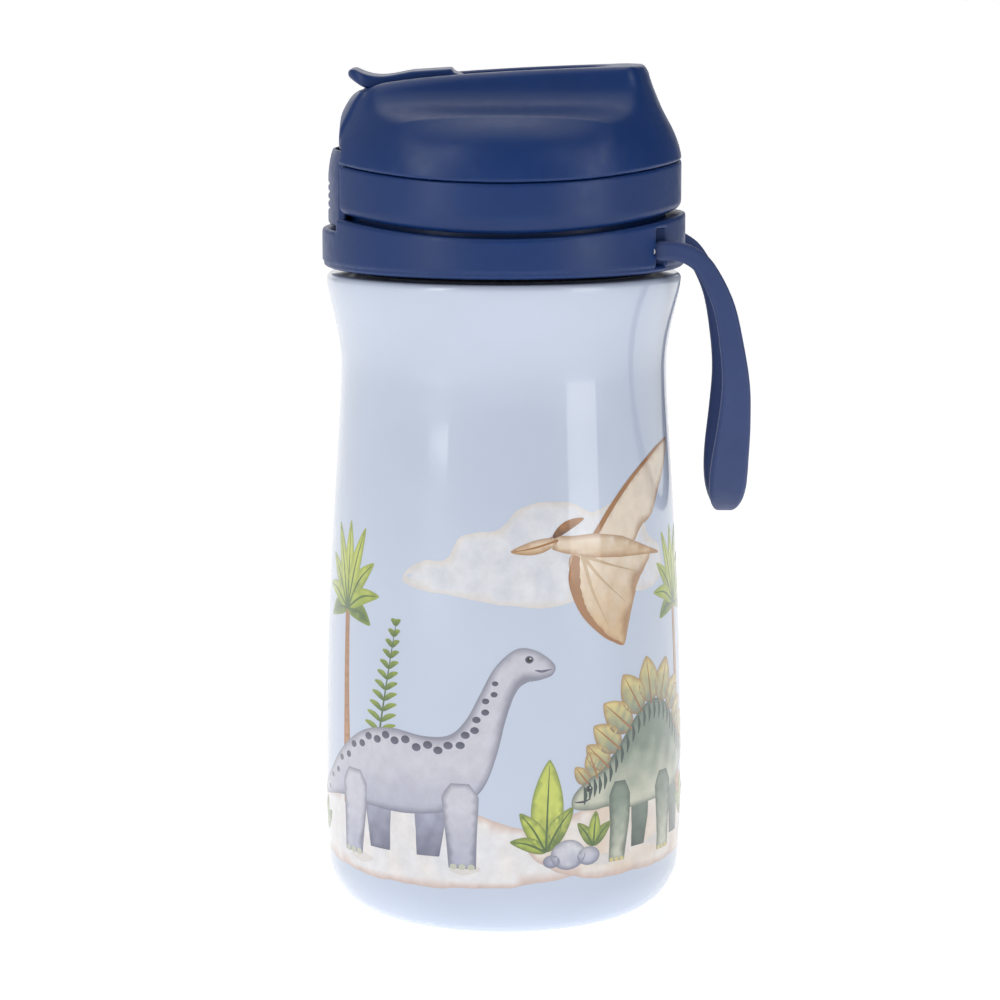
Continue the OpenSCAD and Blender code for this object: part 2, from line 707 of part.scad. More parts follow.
seat_r = 4.2;
module spout_seat() {
    color(silicone)
    difference() {
        union() {
            translate([straw_x, 0, pocket_floor_z]) cylinder(r = seat_r, h = 1.4, $fn = coarse);
            translate([straw_x, 0, pocket_floor_z - pocket_floor_t])
            cylinder(r = connector_r + 1.2, h = pocket_floor_t, $fn = coarse);
        }
        cross_rod(barrel_r + 0.15, pocket_half_w, -spout_x, spout_z);
        translate([straw_x, 0, 0]) cylinder(r = passage_r, h = far, $fn = coarse);
        translate([straw_x, 0, 0])
        cylinder(r = connector_r, h = pocket_floor_z - pocket_floor_t + 1, $fn = coarse);
    }
}

straw_grip = 6;
module straw_connector() {
    color("white")
    translate([straw_x, 0, 0]) {
        pipe(connector_r, passage_r, deck_z - straw_grip, pocket_floor_z - pocket_floor_t + 1);
        pipe(connector_r + 2.4, connector_r - 0.1, deck_top_z, deck_top_z + 1.2);
    }
}

module straw_tube() {
    color(silicone)
    translate([straw_x, 0, 0])
    pipe(connector_r + straw_wall, connector_r, liner_floor_z + liner_wall + straw_foot_gap, deck_z - 0.8);
}

module air_valve() {
    color(silicone)
    translate([valve_x, valve_y, deck_z])
    rotate_extrude($fn = coarse)
    polygon([[0, -2.2], [1, -2.2], [2.3, -0.8], [2.3, 0], [valve_stem_r, 0], [valve_stem_r, deck_t],
        [3.6, deck_t], [3.2, deck_t + 0.8], [0, deck_t + 1.2]]);
}

// Latch: a curved face outside, a knuckle on the pin, and two prongs that hook beside the flap's teeth
module latch_button() {
    knuckle_r = 1.7;
    color(navy)
    difference() {
        union() {
            intersection() {
                rotate_extrude($fn = fine)
                polygon([[button_in_r, button_z], [button_r - 0.4, button_z], [button_r, button_z + 0.6],
                    [button_r, button_z + 0.64 * button_h], [button_in_r + 0.5, button_top_z - 0.4],
                    [button_in_r + 0.1, button_top_z], [button_in_r, button_top_z]]);
                block(-far, 0, button_half_w, button_z - 1, button_top_z + 1);
            }
            cross_rod(knuckle_r, knuckle_half_w, latch_x, latch_z);
            intersection() {
                block(-button_in_r - 0.3, latch_x, knuckle_half_w, latch_z - knuckle_r,
                    latch_z + knuckle_r);
                translate([0, 0, latch_z - 5]) cylinder(r = button_in_r + 0.3, h = 10, $fn = fine);
            }
            for (side = [-1, 1])
            translate([0, side * prong_y, 0]) {
                block(prong_x, prong_x + prong_w, prong_t / 2, latch_z, hook_top_z);
                block(prong_x, prong_x + prong_w + hook_w, prong_t / 2, hook_z, hook_top_z);
                block(latch_x, prong_x + prong_w, prong_t / 2, latch_z - 1, latch_z + 1);
            }
        }
        cross_rod(latch_pin_r + run_gap, latch_ear_half_w, latch_x, latch_z);
    }
}

module latch_pin() {
    color("silver")
    cross_rod(latch_pin_r, latch_ear_half_w, latch_x, latch_z);
}

// Compression spring between the wall in the lid and the back of the button
spring_wire_r = 0.3;
spring_turns = 4;
spring_steps = 16;
spring_sides = 6;
spring_z = (deck_top_z + latch_z - 1.8) / 2;
spring_len = spring_wall_x + button_in_r - 0.6;
function coil_ring(i, n) = let (a = 360 * i / spring_steps, r = latch_spring_r - spring_wire_r)
    [for (k = [0:spring_sides - 1]) let (b = 360 * k / spring_sides, rr = r + spring_wire_r * cos(b))
        [spring_wall_x - spring_wire_r - (spring_len - 2 * spring_wire_r) * i / n
            - spring_wire_r * sin(b), rr * cos(a), spring_z + rr * sin(a)]];

module latch_spring() {
    n = spring_turns * spring_steps;
    m = spring_sides;
    points = [for (i = [0:n]) each coil_ring(i, n)];
    sides = [for (i = [0:n - 1]) for (k = [0:m - 1])
        let (a = m * i + k, b = m * i + (k + 1) % m) [a, b, b + m, a + m]];
    caps = [[for (k = [m - 1:-1:0]) k], [for (k = [0:m - 1]) m * n + k]];
    color("silver")
    polyhedron(points, concat(sides, caps), convexity = 8);
}

outer_shell();
inner_liner();
liner_floor();
base_disc();
vacuum_getter();
neck_gasket();
lid_base();
lid_dome();
strap_collar();
strap_pins();
strap_loop();
flap();
flap_pad();
flap_pin();
spout();
mouth_tip();
spout_seat();
straw_connector();
straw_tube();
air_valve();
latch_button();
latch_pin();
latch_spring();
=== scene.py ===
import math

import bpy
import numpy as np
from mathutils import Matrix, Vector
from mathutils.geometry import delaunay_2d_cdt


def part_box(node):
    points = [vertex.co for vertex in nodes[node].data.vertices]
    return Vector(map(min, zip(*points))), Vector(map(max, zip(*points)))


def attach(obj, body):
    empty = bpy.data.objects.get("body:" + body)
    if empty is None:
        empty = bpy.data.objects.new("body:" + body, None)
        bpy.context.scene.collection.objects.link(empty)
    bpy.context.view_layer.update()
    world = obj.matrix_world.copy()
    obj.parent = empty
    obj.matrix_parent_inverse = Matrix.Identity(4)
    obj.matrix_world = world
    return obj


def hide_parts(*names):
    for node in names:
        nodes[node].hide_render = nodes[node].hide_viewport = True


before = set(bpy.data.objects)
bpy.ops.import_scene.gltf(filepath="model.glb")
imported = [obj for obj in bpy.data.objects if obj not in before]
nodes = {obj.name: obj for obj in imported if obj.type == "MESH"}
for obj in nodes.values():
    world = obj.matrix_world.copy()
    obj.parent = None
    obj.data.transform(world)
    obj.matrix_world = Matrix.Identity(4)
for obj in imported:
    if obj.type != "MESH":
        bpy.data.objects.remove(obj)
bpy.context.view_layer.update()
MM = 0.001

# ---------------- sizes, in mm, as in the CAD source
shoulder_z, base_flat_r, corner_r = 136.8, 25.9, 11.9
body_max_r, body_max_z, waist_r, waist_drop = 38.4, 28.0, 34.75, 19.8
shell_wall, base_disc_r = 0.6, 24.0
neck_r, neck_h, lip_t = 30.6, 12.7, 0.7
thread_pitch, thread_depth, thread_gap, thread_drop = 4.0, 1.0, 0.4, 8.3
gasket_t, seal_gap, run_gap = 1.2, 0.05, 0.05
lid_r, lid_wall, deck_t = 37.5, 2.1, 2.0
collar_h, collar_proud, collar_rise, rim_step = 8.3, 0.9, 3.2, 0.7
band_gap, band_h, band_rise, seam_rise = 0.6, 10.6, 3.6, 3.1
dome_h, dome_slope_drop, dome_left_inset, dome_end_inset, spine_half_w = 23.0, 3.7, 3.2, 6.7, 15.2
channel_half_w, recess_depth, recess_len = 10.5, 6.2, 32.0
strand_y, strap_t, strap_end_w, strap_wide_w, strap_tip_w = 20.2, 2.8, 4.0, 9.6, 4.4
strap_drop, strap_pin_r, strap_eye_relief = 57.0, 0.8, 0.25
flap_pin_x, flap_pin_r, flap_pin_sink, flap_plate_sink, flap_knuckle_r = 10.0, 1.0, 2.1, 3.1, 2.2
flap_proud, flap_side_gap, tab_t, tab_reach = 1.1, 0.5, 2.6, 32.8
spout_x, spout_sink, barrel_r, trunnion_r, nozzle_r, nozzle_len = 13.0, 6.4, 5.0, 1.8, 3.2, 14.0
passage_r, tip_t, connector_r = 1.8, 1.0, 2.9
button_half_w, button_t, button_h, button_rise, button_sink = 15.0, 1.6, 16.0, 0.5, 0.4
latch_pin_r, latch_inset, latch_rise, latch_knuckle_r, window_gap = 0.7, 5.3, 13.1, 1.7, 0.4

waist_z = shoulder_z - waist_drop
neck_top_z = shoulder_z + neck_h
lip_z = neck_top_z + lip_t
deck_z = lip_z + gasket_t + 2 * seal_gap
collar_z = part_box("strap_collar")[0].z / MM
collar_top_z = collar_z + collar_h
band_z = collar_top_z + band_gap
seam_z = band_z + band_h
dome_top_z = seam_z + dome_h
skirt_z = collar_z + 0.4
collar_r = lid_r + collar_proud
rim_r = collar_r - rim_step
rim_round = 1.2
skirt_in_r = neck_r + thread_depth + thread_gap
skirt_r = skirt_in_r + lid_wall
dome_left_x = -(lid_r - dome_left_inset)
dome_low_z = dome_top_z - dome_slope_drop
dome_end_x = lid_r - dome_end_inset
crown_x0, crown_x1 = dome_left_x + 9.3, dome_end_x - 1.5


# ---------------- curves and outlines
def cubic(a, b, c, d, t):
    """Point or value at t on a cubic curve."""
    return a * (1 - t) ** 3 + 3 * b * (1 - t) ** 2 * t + 3 * c * (1 - t) * t**2 + d * t**3


def curve(a, b, c, d, n=24):
    """The points of a cubic curve after its start."""
    a, b, c, d = (np.array(p, float) for p in (a, b, c, d))
    return [tuple(cubic(a, b, c, d, i / n)) for i in range(1, n + 1)]


def arc(cx, cy, r, a0, a1, n=16):
    """Points on a circle, from one angle in degrees to another."""
    angles = np.radians(np.linspace(a0, a1, n + 1))
    return [(cx + r * math.cos(a), cy + r * math.sin(a)) for a in angles]


def through(points, per_span=8, closed=False):
    """A smooth curve through the points (Catmull-Rom)."""
    p = np.array(points, float)
    n = len(p)
    if closed:
        before, after, far_on = np.roll(p, 1, 0), np.roll(p, -1, 0), np.roll(p, -2, 0)
        spans = range(n)
    else:
        before = np.vstack([2 * p[0] - p[1], p[:-1]])
        after = np.vstack([p[1:], 2 * p[-1] - p[-2]])
        far_on = np.vstack([p[2:], 2 * p[-1] - p[-2], p[-1:]])
        spans = range(n - 1)
    out = []
    for i in spans:
        a, b, c, d = before[i], p[i], after[i], far_on[i]
        for k in range(per_span):
            t = k / per_span
            out.append(0.5 * (2 * b + (c - a) * t + (2 * a - 5 * b + 4 * c - d) * t * t
                              + (3 * b - a - 3 * c + d) * t**3))
    if not closed:
        out.append(p[-1])
    return np.array(out)


def unit(v):
    """Rows of vectors, each scaled to a length of one."""
    return v / np.maximum(np.linalg.norm(v, axis=1), 1e-9)[:, None]


def left_of(way):
    """Unit vectors square to rows of flat directions."""
    return unit(np.stack([-way[:, 1], way[:, 0]], 1))


def edge_distance(p, outline):
    """Distance from points to a closed outline, and whether they are inside it."""
    best, inside = np.full(len(p), 1e9), np.zeros(len(p), bool)
    for a, b in zip(outline, np.roll(outline, -1, 0)):
        e = b - a
        t = np.clip(((p - a) @ e) / max(e @ e, 1e-12), 0, 1)
        best = np.minimum(best, np.linalg.norm(p - a - t[:, None] * e, axis=1))
        if abs(e[1]) > 1e-12:
            crossed = (a[1] <= p[:, 1]) != (b[1] <= p[:, 1])
            inside ^= crossed & (p[:, 0] < a[0] + (p[:, 1] - a[1]) * e[0] / e[1])
    return best, inside


# ---------------- implicit solids
def smin(a, b, k):
    """Union of two fields with a fillet of about k."""
    h = np.maximum(k - np.abs(a - b), 0) / k
    return np.minimum(a, b) - h * h * k / 4


def smax(a, b, k):
    """Intersection of two fields with an edge rounded by about k."""
    return -smin(-a, -b, k)


def outline_field(points, step=0.2, pad=4.0):
    """Signed distance to a closed outline, as a smooth lookup of two coordinates."""
    p = np.array(points, float)
    lo = p.min(0) - pad
    n = np.ceil((p.max(0) + pad - lo) / step).astype(int) + 1
    u, v = np.meshgrid(lo[0] + step * np.arange(n[0]), lo[1] + step * np.arange(n[1]), indexing="ij")
    dist, inside = edge_distance(np.stack([u.ravel(), v.ravel()], 1), p)
    table = np.where(inside, -dist, dist).reshape(n)

    def look(x, y):
        i = np.clip((x - lo[0]) / step, 0, n[0] - 1.001)
        j = np.clip((y - lo[1]) / step, 0, n[1] - 1.001)
        i, j = np.broadcast_arrays(i, j)
        i0, j0 = i.astype(int), j.astype(int)
        s, t = i - i0, j - j0
        return ((table[i0, j0] * (1 - s) + table[i0 + 1, j0] * s) * (1 - t)
                + (table[i0, j0 + 1] * (1 - s) + table[i0 + 1, j0 + 1] * s) * t)

    return look


def gradient(field, v, h):
    """Slope of a field at points v, by central differences."""
    g = np.empty_like(v)
    for axis in range(3):
        e = np.zeros(3)
        e[axis] = h
        g[:, axis] = (field(*(v + e).T) - field(*(v - e).T)) / (2 * h)
    return g


def solid(name, field, lo, hi, step):
    """A closed mesh of the surface where the field is zero, by surface nets. Everything is in mm."""
    lo = np.array(lo, float) - 1.37 * step
    n = np.ceil((np.array(hi, float) + 1.5 * step - lo) / step).astype(int) + 1
    x, y, z = (lo[i] + step * np.arange(n[i]) for i in range(3))
    f = field(x[:, None, None], y[None, :, None], z[None, None, :])
    f = np.broadcast_to(f, n)
    cells = n - 1
    total = np.zeros((cells.prod(), 3))
    count = np.zeros(cells.prod())
    quads = []
    for axis in range(3):
        a = f[tuple(slice(None, -1) if i == axis else slice(None) for i in range(3))]
        b = f[tuple(slice(1, None) if i == axis else slice(None) for i in range(3))]
        at = np.argwhere((a < 0) != (b < 0))
        fa, fb = a[tuple(at.T)], b[tuple(at.T)]
        place = at.astype(float)
        place[:, axis] += fa / (fa - fb)
        u, v = (axis + 1) % 3, (axis + 2) % 3
        around = []
        for du, dv in ((0, 0), (1, 0), (1, 1), (0, 1)):
            cell = at.copy()
            cell[:, u] -= du
            cell[:, v] -= dv
            good = np.all((cell >= 0) & (cell < cells), axis=1)
            flat = (cell[:, 0] * cells[1] + cell[:, 1]) * cells[2] + cell[:, 2]
            for i in range(3):
                total[:, i] += np.bincount(flat[good], place[good, i], cells.prod())
            count += np.bincount(flat[good], minlength=cells.prod())
            around.append(np.where(good, flat, -1))
        quad = np.stack(around, 1)
        quad[fa >= 0] = quad[fa >= 0][:, ::-1]
        quads.append(quad[(quad >= 0).all(1)])
    quads = np.vstack(quads)
    used = np.flatnonzero(count)
    number = np.full(cells.prod(), -1)
    number[used] = np.arange(len(used))
    vertices = lo + step * total[used] / count[used][:, None]
    start = vertices.copy()
    for _ in range(3):
        g = gradient(field, vertices, 0.04)
        move = -field(*vertices.T)[:, None] * g / np.maximum((g * g).sum(1), 0.05)[:, None]
        vertices = vertices + np.clip(move, -0.4 * step, 0.4 * step)
    vertices = start + np.clip(vertices - start, -0.7 * step, 0.7 * step)
    return mesh_object(name, vertices, number[quads], unit(gradient(field, vertices, 0.22)))


def mesh_object(name, vertices, faces, normals=None):
    """A smooth-shaded object from points in mm and faces that all have the same number of corners."""
    mesh = bpy.data.meshes.new(name)
    faces = np.asarray(faces)
    mesh.vertices.add(len(vertices))
    mesh.vertices.foreach_set("co", (np.asarray(vertices, float) * MM).astype(np.float32).ravel())
    corners = faces.shape[1]
    mesh.loops.add(faces.size)
    mesh.loops.foreach_set("vertex_index", faces.astype(np.int32).ravel())
    mesh.polygons.add(len(faces))
    mesh.polygons.foreach_set("loop_start", np.arange(0, faces.size, corners, dtype=np.int32))
    mesh.update(calc_edges=True)
    mesh.validate()
    mesh.polygons.foreach_set("use_smooth", np.ones(len(mesh.polygons), bool))
    if normals is not None and len(mesh.vertices) == len(normals):
        mesh.normals_split_custom_set_from_vertices(normals.astype(float).tolist())
    obj = bpy.data.objects.new(name, mesh)
    bpy.context.scene.collection.objects.link(obj)
    return obj


def wave(z, rise, x):
    """Height of the lid's wavy edges, which rise towards both ends along X."""
    r = (lid_r * lid_r + rise * rise) / (2 * rise)
    return z + r - np.sqrt(r * r - np.minimum(x * x, 0.9 * r * r))


def box_field(x, y, z, x0, x1, half_w, z0, z1, k=0.5, y_mid=0.0):
    """A box, its edges rounded by about k."""
    f = smax(x0 - x, x - x1, k)
    f = smax(f, np.abs(y - y_mid) - half_w, k)
    return smax(f, smax(z0 - z, z - z1, k), k)


def rod_y(x, y, z, r, half_w, cx, cz, k=0.3, y_mid=0.0):
    """A rod along Y."""
    return smax(np.hypot(x - cx, z - cz) - r, np.abs(y - y_mid) - half_w, k)


def nearer(y, at):
    """The middle of the nearer of two parts that stand at y and -y."""
    return np.where(y > 0, at, -at)


# ---------------- materials
def srgb(r, g, b):
    """Linear colour from 0-255 values."""
    return tuple((c / 255 / 12.92 if c <= 10 else ((c / 255 + 0.055) / 1.055) ** 2.4)
                 for c in (r, g, b)) + (1,)


class Nodes:
    """Small helper for building a material's node tree."""

    def __init__(self, name):
        self.material = bpy.data.materials.new(name)
        self.material.use_nodes = True
        self.tree = self.material.node_tree
        self.shader = self.tree.nodes["Principled BSDF"]
        self.coord = self.tree.nodes.new("ShaderNodeTexCoord").outputs["Object"]

    def add(self, kind, **values):
        node = self.tree.nodes.new(kind)
        for key, value in values.items():
            setattr(node, key, value)
        return node

    def link(self, a, b):
        self.tree.links.new(a, b)

    def noise(self, scale, detail=3.0, rough=0.55, stretch=None):
        """A noise of that scale per metre. stretch squeezes it along the axes."""
        node = self.add("ShaderNodeTexNoise")
        node.inputs["Scale"].default_value = scale
        node.inputs["Detail"].default_value = detail
        node.inputs["Roughness"].default_value = rough
        source = self.coord
        if stretch:
            mapping = self.add("ShaderNodeMapping")
            mapping.inputs["Scale"].default_value = stretch
            self.link(source, mapping.inputs["Vector"])
            source = mapping.outputs["Vector"]
        self.link(source, node.inputs["Vector"])
        return node.outputs["Fac"]

    def spread(self, value, low, high, in_low=0.3, in_high=0.7):
        """A value moved from one range to another."""
        node = self.add("ShaderNodeMapRange")
        for key, v in (("From Min", in_low), ("From Max", in_high), ("To Min", low), ("To Max", high)):
            node.inputs[key].default_value = v
        self.link(value, node.inputs["Value"])
        return node.outputs["Result"]

    def blend(self, value, a, b, mode="MIX"):
        """Mix of two colours, either of which may be a socket."""
        node = self.add("ShaderNodeMix", data_type="RGBA", blend_type=mode)
        for source, socket in ((value, 0), (a, 6), (b, 7)):
            if isinstance(source, bpy.types.NodeSocket):
                self.link(source, node.inputs[socket])
            else:
                node.inputs[socket].default_value = source
        return node.outputs[2]

    def bump(self, value, strength, distance):
        node = self.add("ShaderNodeBump")
        node.inputs["Strength"].default_value = strength
        node.inputs["Distance"].default_value = distance
        self.link(value, node.inputs["Height"])
        self.link(node.outputs["Normal"], self.shader.inputs["Normal"])

    def set(self, **values):
        """Values or sockets for the shader's inputs."""
        for key, value in values.items():
            socket = self.shader.inputs[key.replace("_", " ")]
            if isinstance(value, bpy.types.NodeSocket):
                self.link(value, socket)
            else:
                socket.default_value = value


def shade(colour, factor):
    """A darker or lighter tone of a colour."""
    return tuple(c * factor for c in colour[:3]) + (1,)


def plastic(name, colour, rough, grain, bump, mottle=0.1, coat=0.0, sheen=0.0, specular=0.5):
    """Moulded plastic or rubber: cloudy tone, fine grain and uneven gloss."""
    n = Nodes(name)
    cloud = n.noise(70, 4)
    tone = n.blend(n.spread(cloud, 0, 1), shade(colour, 1 - mottle), shade(colour, 1 + mottle))
    n.set(Base_Color=tone, Roughness=n.spread(n.noise(420, 3), rough - 0.05, rough + 0.06),
          Coat_Weight=coat, Coat_Roughness=0.3, Specular_IOR_Level=specular, Sheen_Weight=sheen,
          Sheen_Roughness=0.45)
    n.bump(n.noise(grain, 2, 0.6), bump, 0.00012)
    return n.material


def steel(name, colour, rough, stretch):
    """Brushed steel: fine lines along one direction."""
    n = Nodes(name)
    lines = n.noise(900, 4, 0.6, stretch)
    n.set(Base_Color=n.blend(lines, shade(colour, 0.88), shade(colour, 1.05)), Metallic=1.0,
          Roughness=n.spread(lines, rough - 0.07, rough + 0.1), Anisotropic=0.4)
    n.bump(lines, 0.12, 0.00006)
    return n.material


def silicone(name, colour, clear):
    """Milky silicone that lets some light through."""
    n = Nodes(name)
    cloud = n.noise(160, 3)
    n.set(Base_Color=n.blend(cloud, shade(colour, 0.94), shade(colour, 1.04)),
          Roughness=n.spread(n.noise(500, 2), 0.3, 0.45), Transmission_Weight=clear,
          Subsurface_Weight=0.25, Subsurface_Radius=(0.004, 0.004, 0.004), Subsurface_Scale=0.4, IOR=1.41)
    n.bump(n.noise(1500, 2), 0.08, 0.00008)
    return n.material


navy_plastic = plastic("navy_plastic", srgb(20, 52, 107), 0.36, 2600, 0.22, 0.06, specular=0.36)
navy_silicone = plastic("navy_silicone", srgb(40, 60, 110), 0.5, 1900, 0.12, 0.05, sheen=0.06)
white_plastic = plastic("white_plastic", srgb(232, 234, 236), 0.35, 2400, 0.1, 0.03)
straw_plastic = plastic("straw_plastic", srgb(222, 228, 234), 0.3, 2400, 0.06, 0.03)
clear_silicone = silicone("clear_silicone", srgb(226, 232, 238), 0.35)
bare_steel = steel("bare_steel", srgb(196, 198, 202), 0.3, (1, 1, 30))
disc_steel = steel("disc_steel", srgb(190, 193, 197), 0.34, (1, 1, 1))
pin_steel = steel("pin_steel", srgb(205, 207, 210), 0.22, (1, 20, 1))
getter_metal = steel("getter_metal", srgb(150, 150, 152), 0.5, (1, 1, 1))


def lacquered(n, colour):
    """A colour under clear lacquer, with faint orange peel."""
    n.set(Base_Color=colour, Roughness=n.spread(n.noise(240, 3), 0.3, 0.38), Coat_Weight=1.0,
          Coat_Roughness=0.05, Coat_IOR=1.5)
    n.bump(n.noise(330, 2, 0.4), 0.06, 0.0002)
    return n.material


def enamel(name, colour):
    """Powder coat under the lacquer, faintly cloudy."""
    n = Nodes(name)
    tone = n.spread(n.noise(26, 3), 0, 1)
    return lacquered(n, n.blend(tone, shade(colour, 0.975), shade(colour, 1.02)))


def print_ink(name, mottle):
    """Water-colour print under the lacquer: tints from the mesh, pooled at the edges and mottled."""
    n = Nodes(name)
    tint = n.add("ShaderNodeAttribute", attribute_name="tint").outputs["Color"]
    edge = n.add("ShaderNodeAttribute", attribute_name="edge").outputs["Fac"]
    pool = n.spread(edge, 0.86, 1.0, 0.0, 0.8)
    cloud = n.spread(n.noise(330, 5, 0.65), 1 - mottle, 1 + mottle * 0.5)
    grey = n.add("ShaderNodeMath", operation="MULTIPLY")
    n.link(pool, grey.inputs[0])
    n.link(cloud, grey.inputs[1])
    join = n.add("ShaderNodeCombineColor")
    for i in range(3):
        n.link(grey.outputs[0], join.inputs[i])
    return lacquered(n, n.blend(1.0, tint, join.outputs[0], "MULTIPLY"))


body_enamel = enamel("body_enamel", srgb(197, 208, 227))
ink = print_ink("print_ink", 0.1)


def coat(obj, material):
    obj.data.materials.clear()
    obj.data.materials.append(material)


def dress(obj, material, body, slot, *stands_for):
    """Material, body and the CAD nodes a piece stands for; slot is not used."""
    coat(obj, material)
    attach(obj, body)
    if stands_for:
        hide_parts(*stands_for)


# ---------------- bottle body
# The skin stands in from the CAD shell, which leaves room for the print's ink.
PAINT_INSET = 0.12
belly_low_r = base_flat_r + corner_r
rim_z = shoulder_z - rim_round
body_rise, flare_rise = waist_z - body_max_z, rim_z - waist_z


def body_outline():
    """The body's side as radius and height, from the base to the rim."""
    side = arc(base_flat_r, corner_r, corner_r, -90, 0, 20)
    side += curve((belly_low_r, corner_r), (body_max_r - 0.2, corner_r + 5), (body_max_r, body_max_z - 7),
                  (body_max_r, body_max_z), 12)
    side += curve((body_max_r, body_max_z), (body_max_r, body_max_z + 0.52 * body_rise),
                  (waist_r, waist_z - 0.15 * body_rise), (waist_r, waist_z), 60)
    side += curve((waist_r, waist_z), (waist_r, waist_z + 0.43 * flare_rise),
                  (rim_r, rim_z - 0.2 * flare_rise), (rim_r, rim_z), 24)
    return side


OUTLINE = np.array(body_outline())


def body_radius(z):
    return np.interp(z, OUTLINE[:, 1], OUTLINE[:, 0]) - PAINT_INSET


def thread_height(z, angle):
    """How far the neck's interrupted thread stands out at a height and an angle."""
    first = neck_top_z - thread_drop + thread_pitch * angle / (2 * math.pi)
    out = np.zeros(np.broadcast(z, angle).shape)
    for turn in range(2):
        near = np.abs(z - (first + turn * thread_pitch))
        live = 1.0 if turn == 0 else np.clip((math.radians(100) - angle) / 0.2, 0, 1)
        out = np.maximum(out, live * np.clip((0.95 - near) / 0.45, 0, 1) * thread_depth)
    gaps = np.clip((np.abs((angle * 8 / (2 * math.pi)) % 1 - 0.5) - 0.06) / 0.06, 0, 1)
    return out * gaps


def make_body():
    """The outer shell, turned from its profile: enamel outside, bare steel at the neck and inside."""
    around = 256
    outer = [(base_disc_r + 0.1, 0.0)] + [(r - PAINT_INSET * min(1.0, z), z) for r, z in body_outline()]
    rim = arc(rim_r - rim_round - PAINT_INSET, rim_z, rim_round, 6, 90, 10)
    shelf = [(rim_r - 3, shoulder_z), (neck_r + 1.6, shoulder_z), (neck_r + 0.5, shoulder_z + 0.12),
             (neck_r + 0.1, shoulder_z + 0.5)]
    neck = [(neck_r, z) for z in np.arange(shoulder_z + 0.8, neck_top_z - 0.05, 0.2)]
    inside_r = neck_r - shell_wall
    back = [(neck_r, neck_top_z), (inside_r, neck_top_z), (inside_r, shoulder_z - shell_wall)]
    back += [(rim_r - rim_round, shoulder_z - shell_wall)]
    back += [(r - shell_wall, z + (shell_wall if z < 1 else 0)) for r, z in reversed(body_outline())]
    back += [(base_disc_r + 0.1, shell_wall)]
    profile = outer + rim + shelf + neck + back
    first_neck = len(outer + rim + shelf)
    last_neck = first_neck + len(neck)
    angles = np.arange(around) * 2 * math.pi / around
    r = np.repeat(np.array(profile)[:, :1], around, 1)
    z = np.repeat(np.array(profile)[:, 1:], around, 1)
    r[first_neck:last_neck] += thread_height(z[first_neck:last_neck], angles[None, :])
    points = np.stack([r * np.cos(angles), r * np.sin(angles), z], 2).reshape(-1, 3)
    rows = len(profile)
    i = np.arange(rows)[:, None]
    j = np.arange(around)[None, :]
    nxt_i, nxt_j = (i + 1) % rows, (j + 1) % around
    faces = np.stack([i * around + j, i * around + nxt_j, nxt_i * around + nxt_j, nxt_i * around + j], 2)
    obj = mesh_object("body_shell", points, faces.reshape(-1, 4))
    dress(obj, body_enamel, "bottle", "body_paint", "outer_shell")
    obj.data.materials.append(bare_steel)
    row = np.repeat(np.arange(rows), around)
    first_bare = len(outer + rim) + 2
    bare = ((row >= first_bare) & (row < rows - 1)).astype(np.int32)
    obj.data.polygons.foreach_set("material_index", bare)
    obj.data.set_sharp_from_angle(angle=math.radians(40))


# ---------------- lid
def spine_side():
    """The lid's raised spine, seen along Y."""
    return ([(dome_left_x, seam_z - 6)]
            + curve((dome_left_x, seam_z + 8.5), (dome_left_x, dome_low_z - 4.3),
                    (dome_left_x + 2.8, dome_low_z - 1.8), (crown_x0, dome_low_z), 24)
            + curve((crown_x0, dome_low_z), (crown_x0 + 10, dome_low_z + 0.49 * dome_slope_drop),
                    (crown_x1 - 24, dome_top_z - 0.24 * dome_slope_drop), (crown_x1, dome_top_z), 24)
            + curve((dome_end_x, dome_top_z - 0.9), (dome_end_x + 0.8, dome_top_z - 6),
                    (lid_r - 0.7, seam_z + 10.5), (lid_r - 0.2, seam_z - 2), 30)
            + [(lid_r - 0.2, seam_z - 6)])


def end_ring():
    """The round end that the spine runs into, as radius and height."""
    return ([(-2, seam_z - 6), (-2, dome_top_z + 1), (dome_end_x + 0.1, dome_top_z + 1)]
            + curve((dome_end_x + 0.1, dome_top_z - 0.9), (dome_end_x + 0.9, dome_top_z - 6),
                    (lid_r - 0.6, seam_z + 10.5), (lid_r - 0.1, seam_z - 2), 30)
            + [(lid_r - 0.1, seam_z - 6)])


def spine_half():
    """One half of the spine's section across the lid."""
    foot_y, foot_z = 28, seam_z + 12
    return ([(-6, seam_z - 6), (-6, dome_top_z + 3), (spine_half_w, dome_top_z + 3)]
            + curve((spine_half_w, dome_top_z - 0.5), (spine_half_w + 0.8, dome_top_z - 6.5),
                    (foot_y - 8, foot_z + 1.5), (foot_y, foot_z), 30)
            + [(lid_r, seam_z - 6)])


def skirt_profile():
    """The lid's low round shoulder, as radius and height."""
    return ([(-6, seam_z - 6), (lid_r - 0.1, seam_z - 6)]
            + curve((lid_r - 0.1, seam_z - 1.5), (lid_r - 0.1, seam_z + 7), (lid_r - 3, seam_z + 12.5),
                    (lid_r - 11.5, seam_z + 13), 40)
            + [(-6, seam_z + 13)])


side_of, ring_of = outline_field(spine_side()), outline_field(end_ring())
half_of, skirt_of = outline_field(spine_half()), outline_field(skirt_profile())

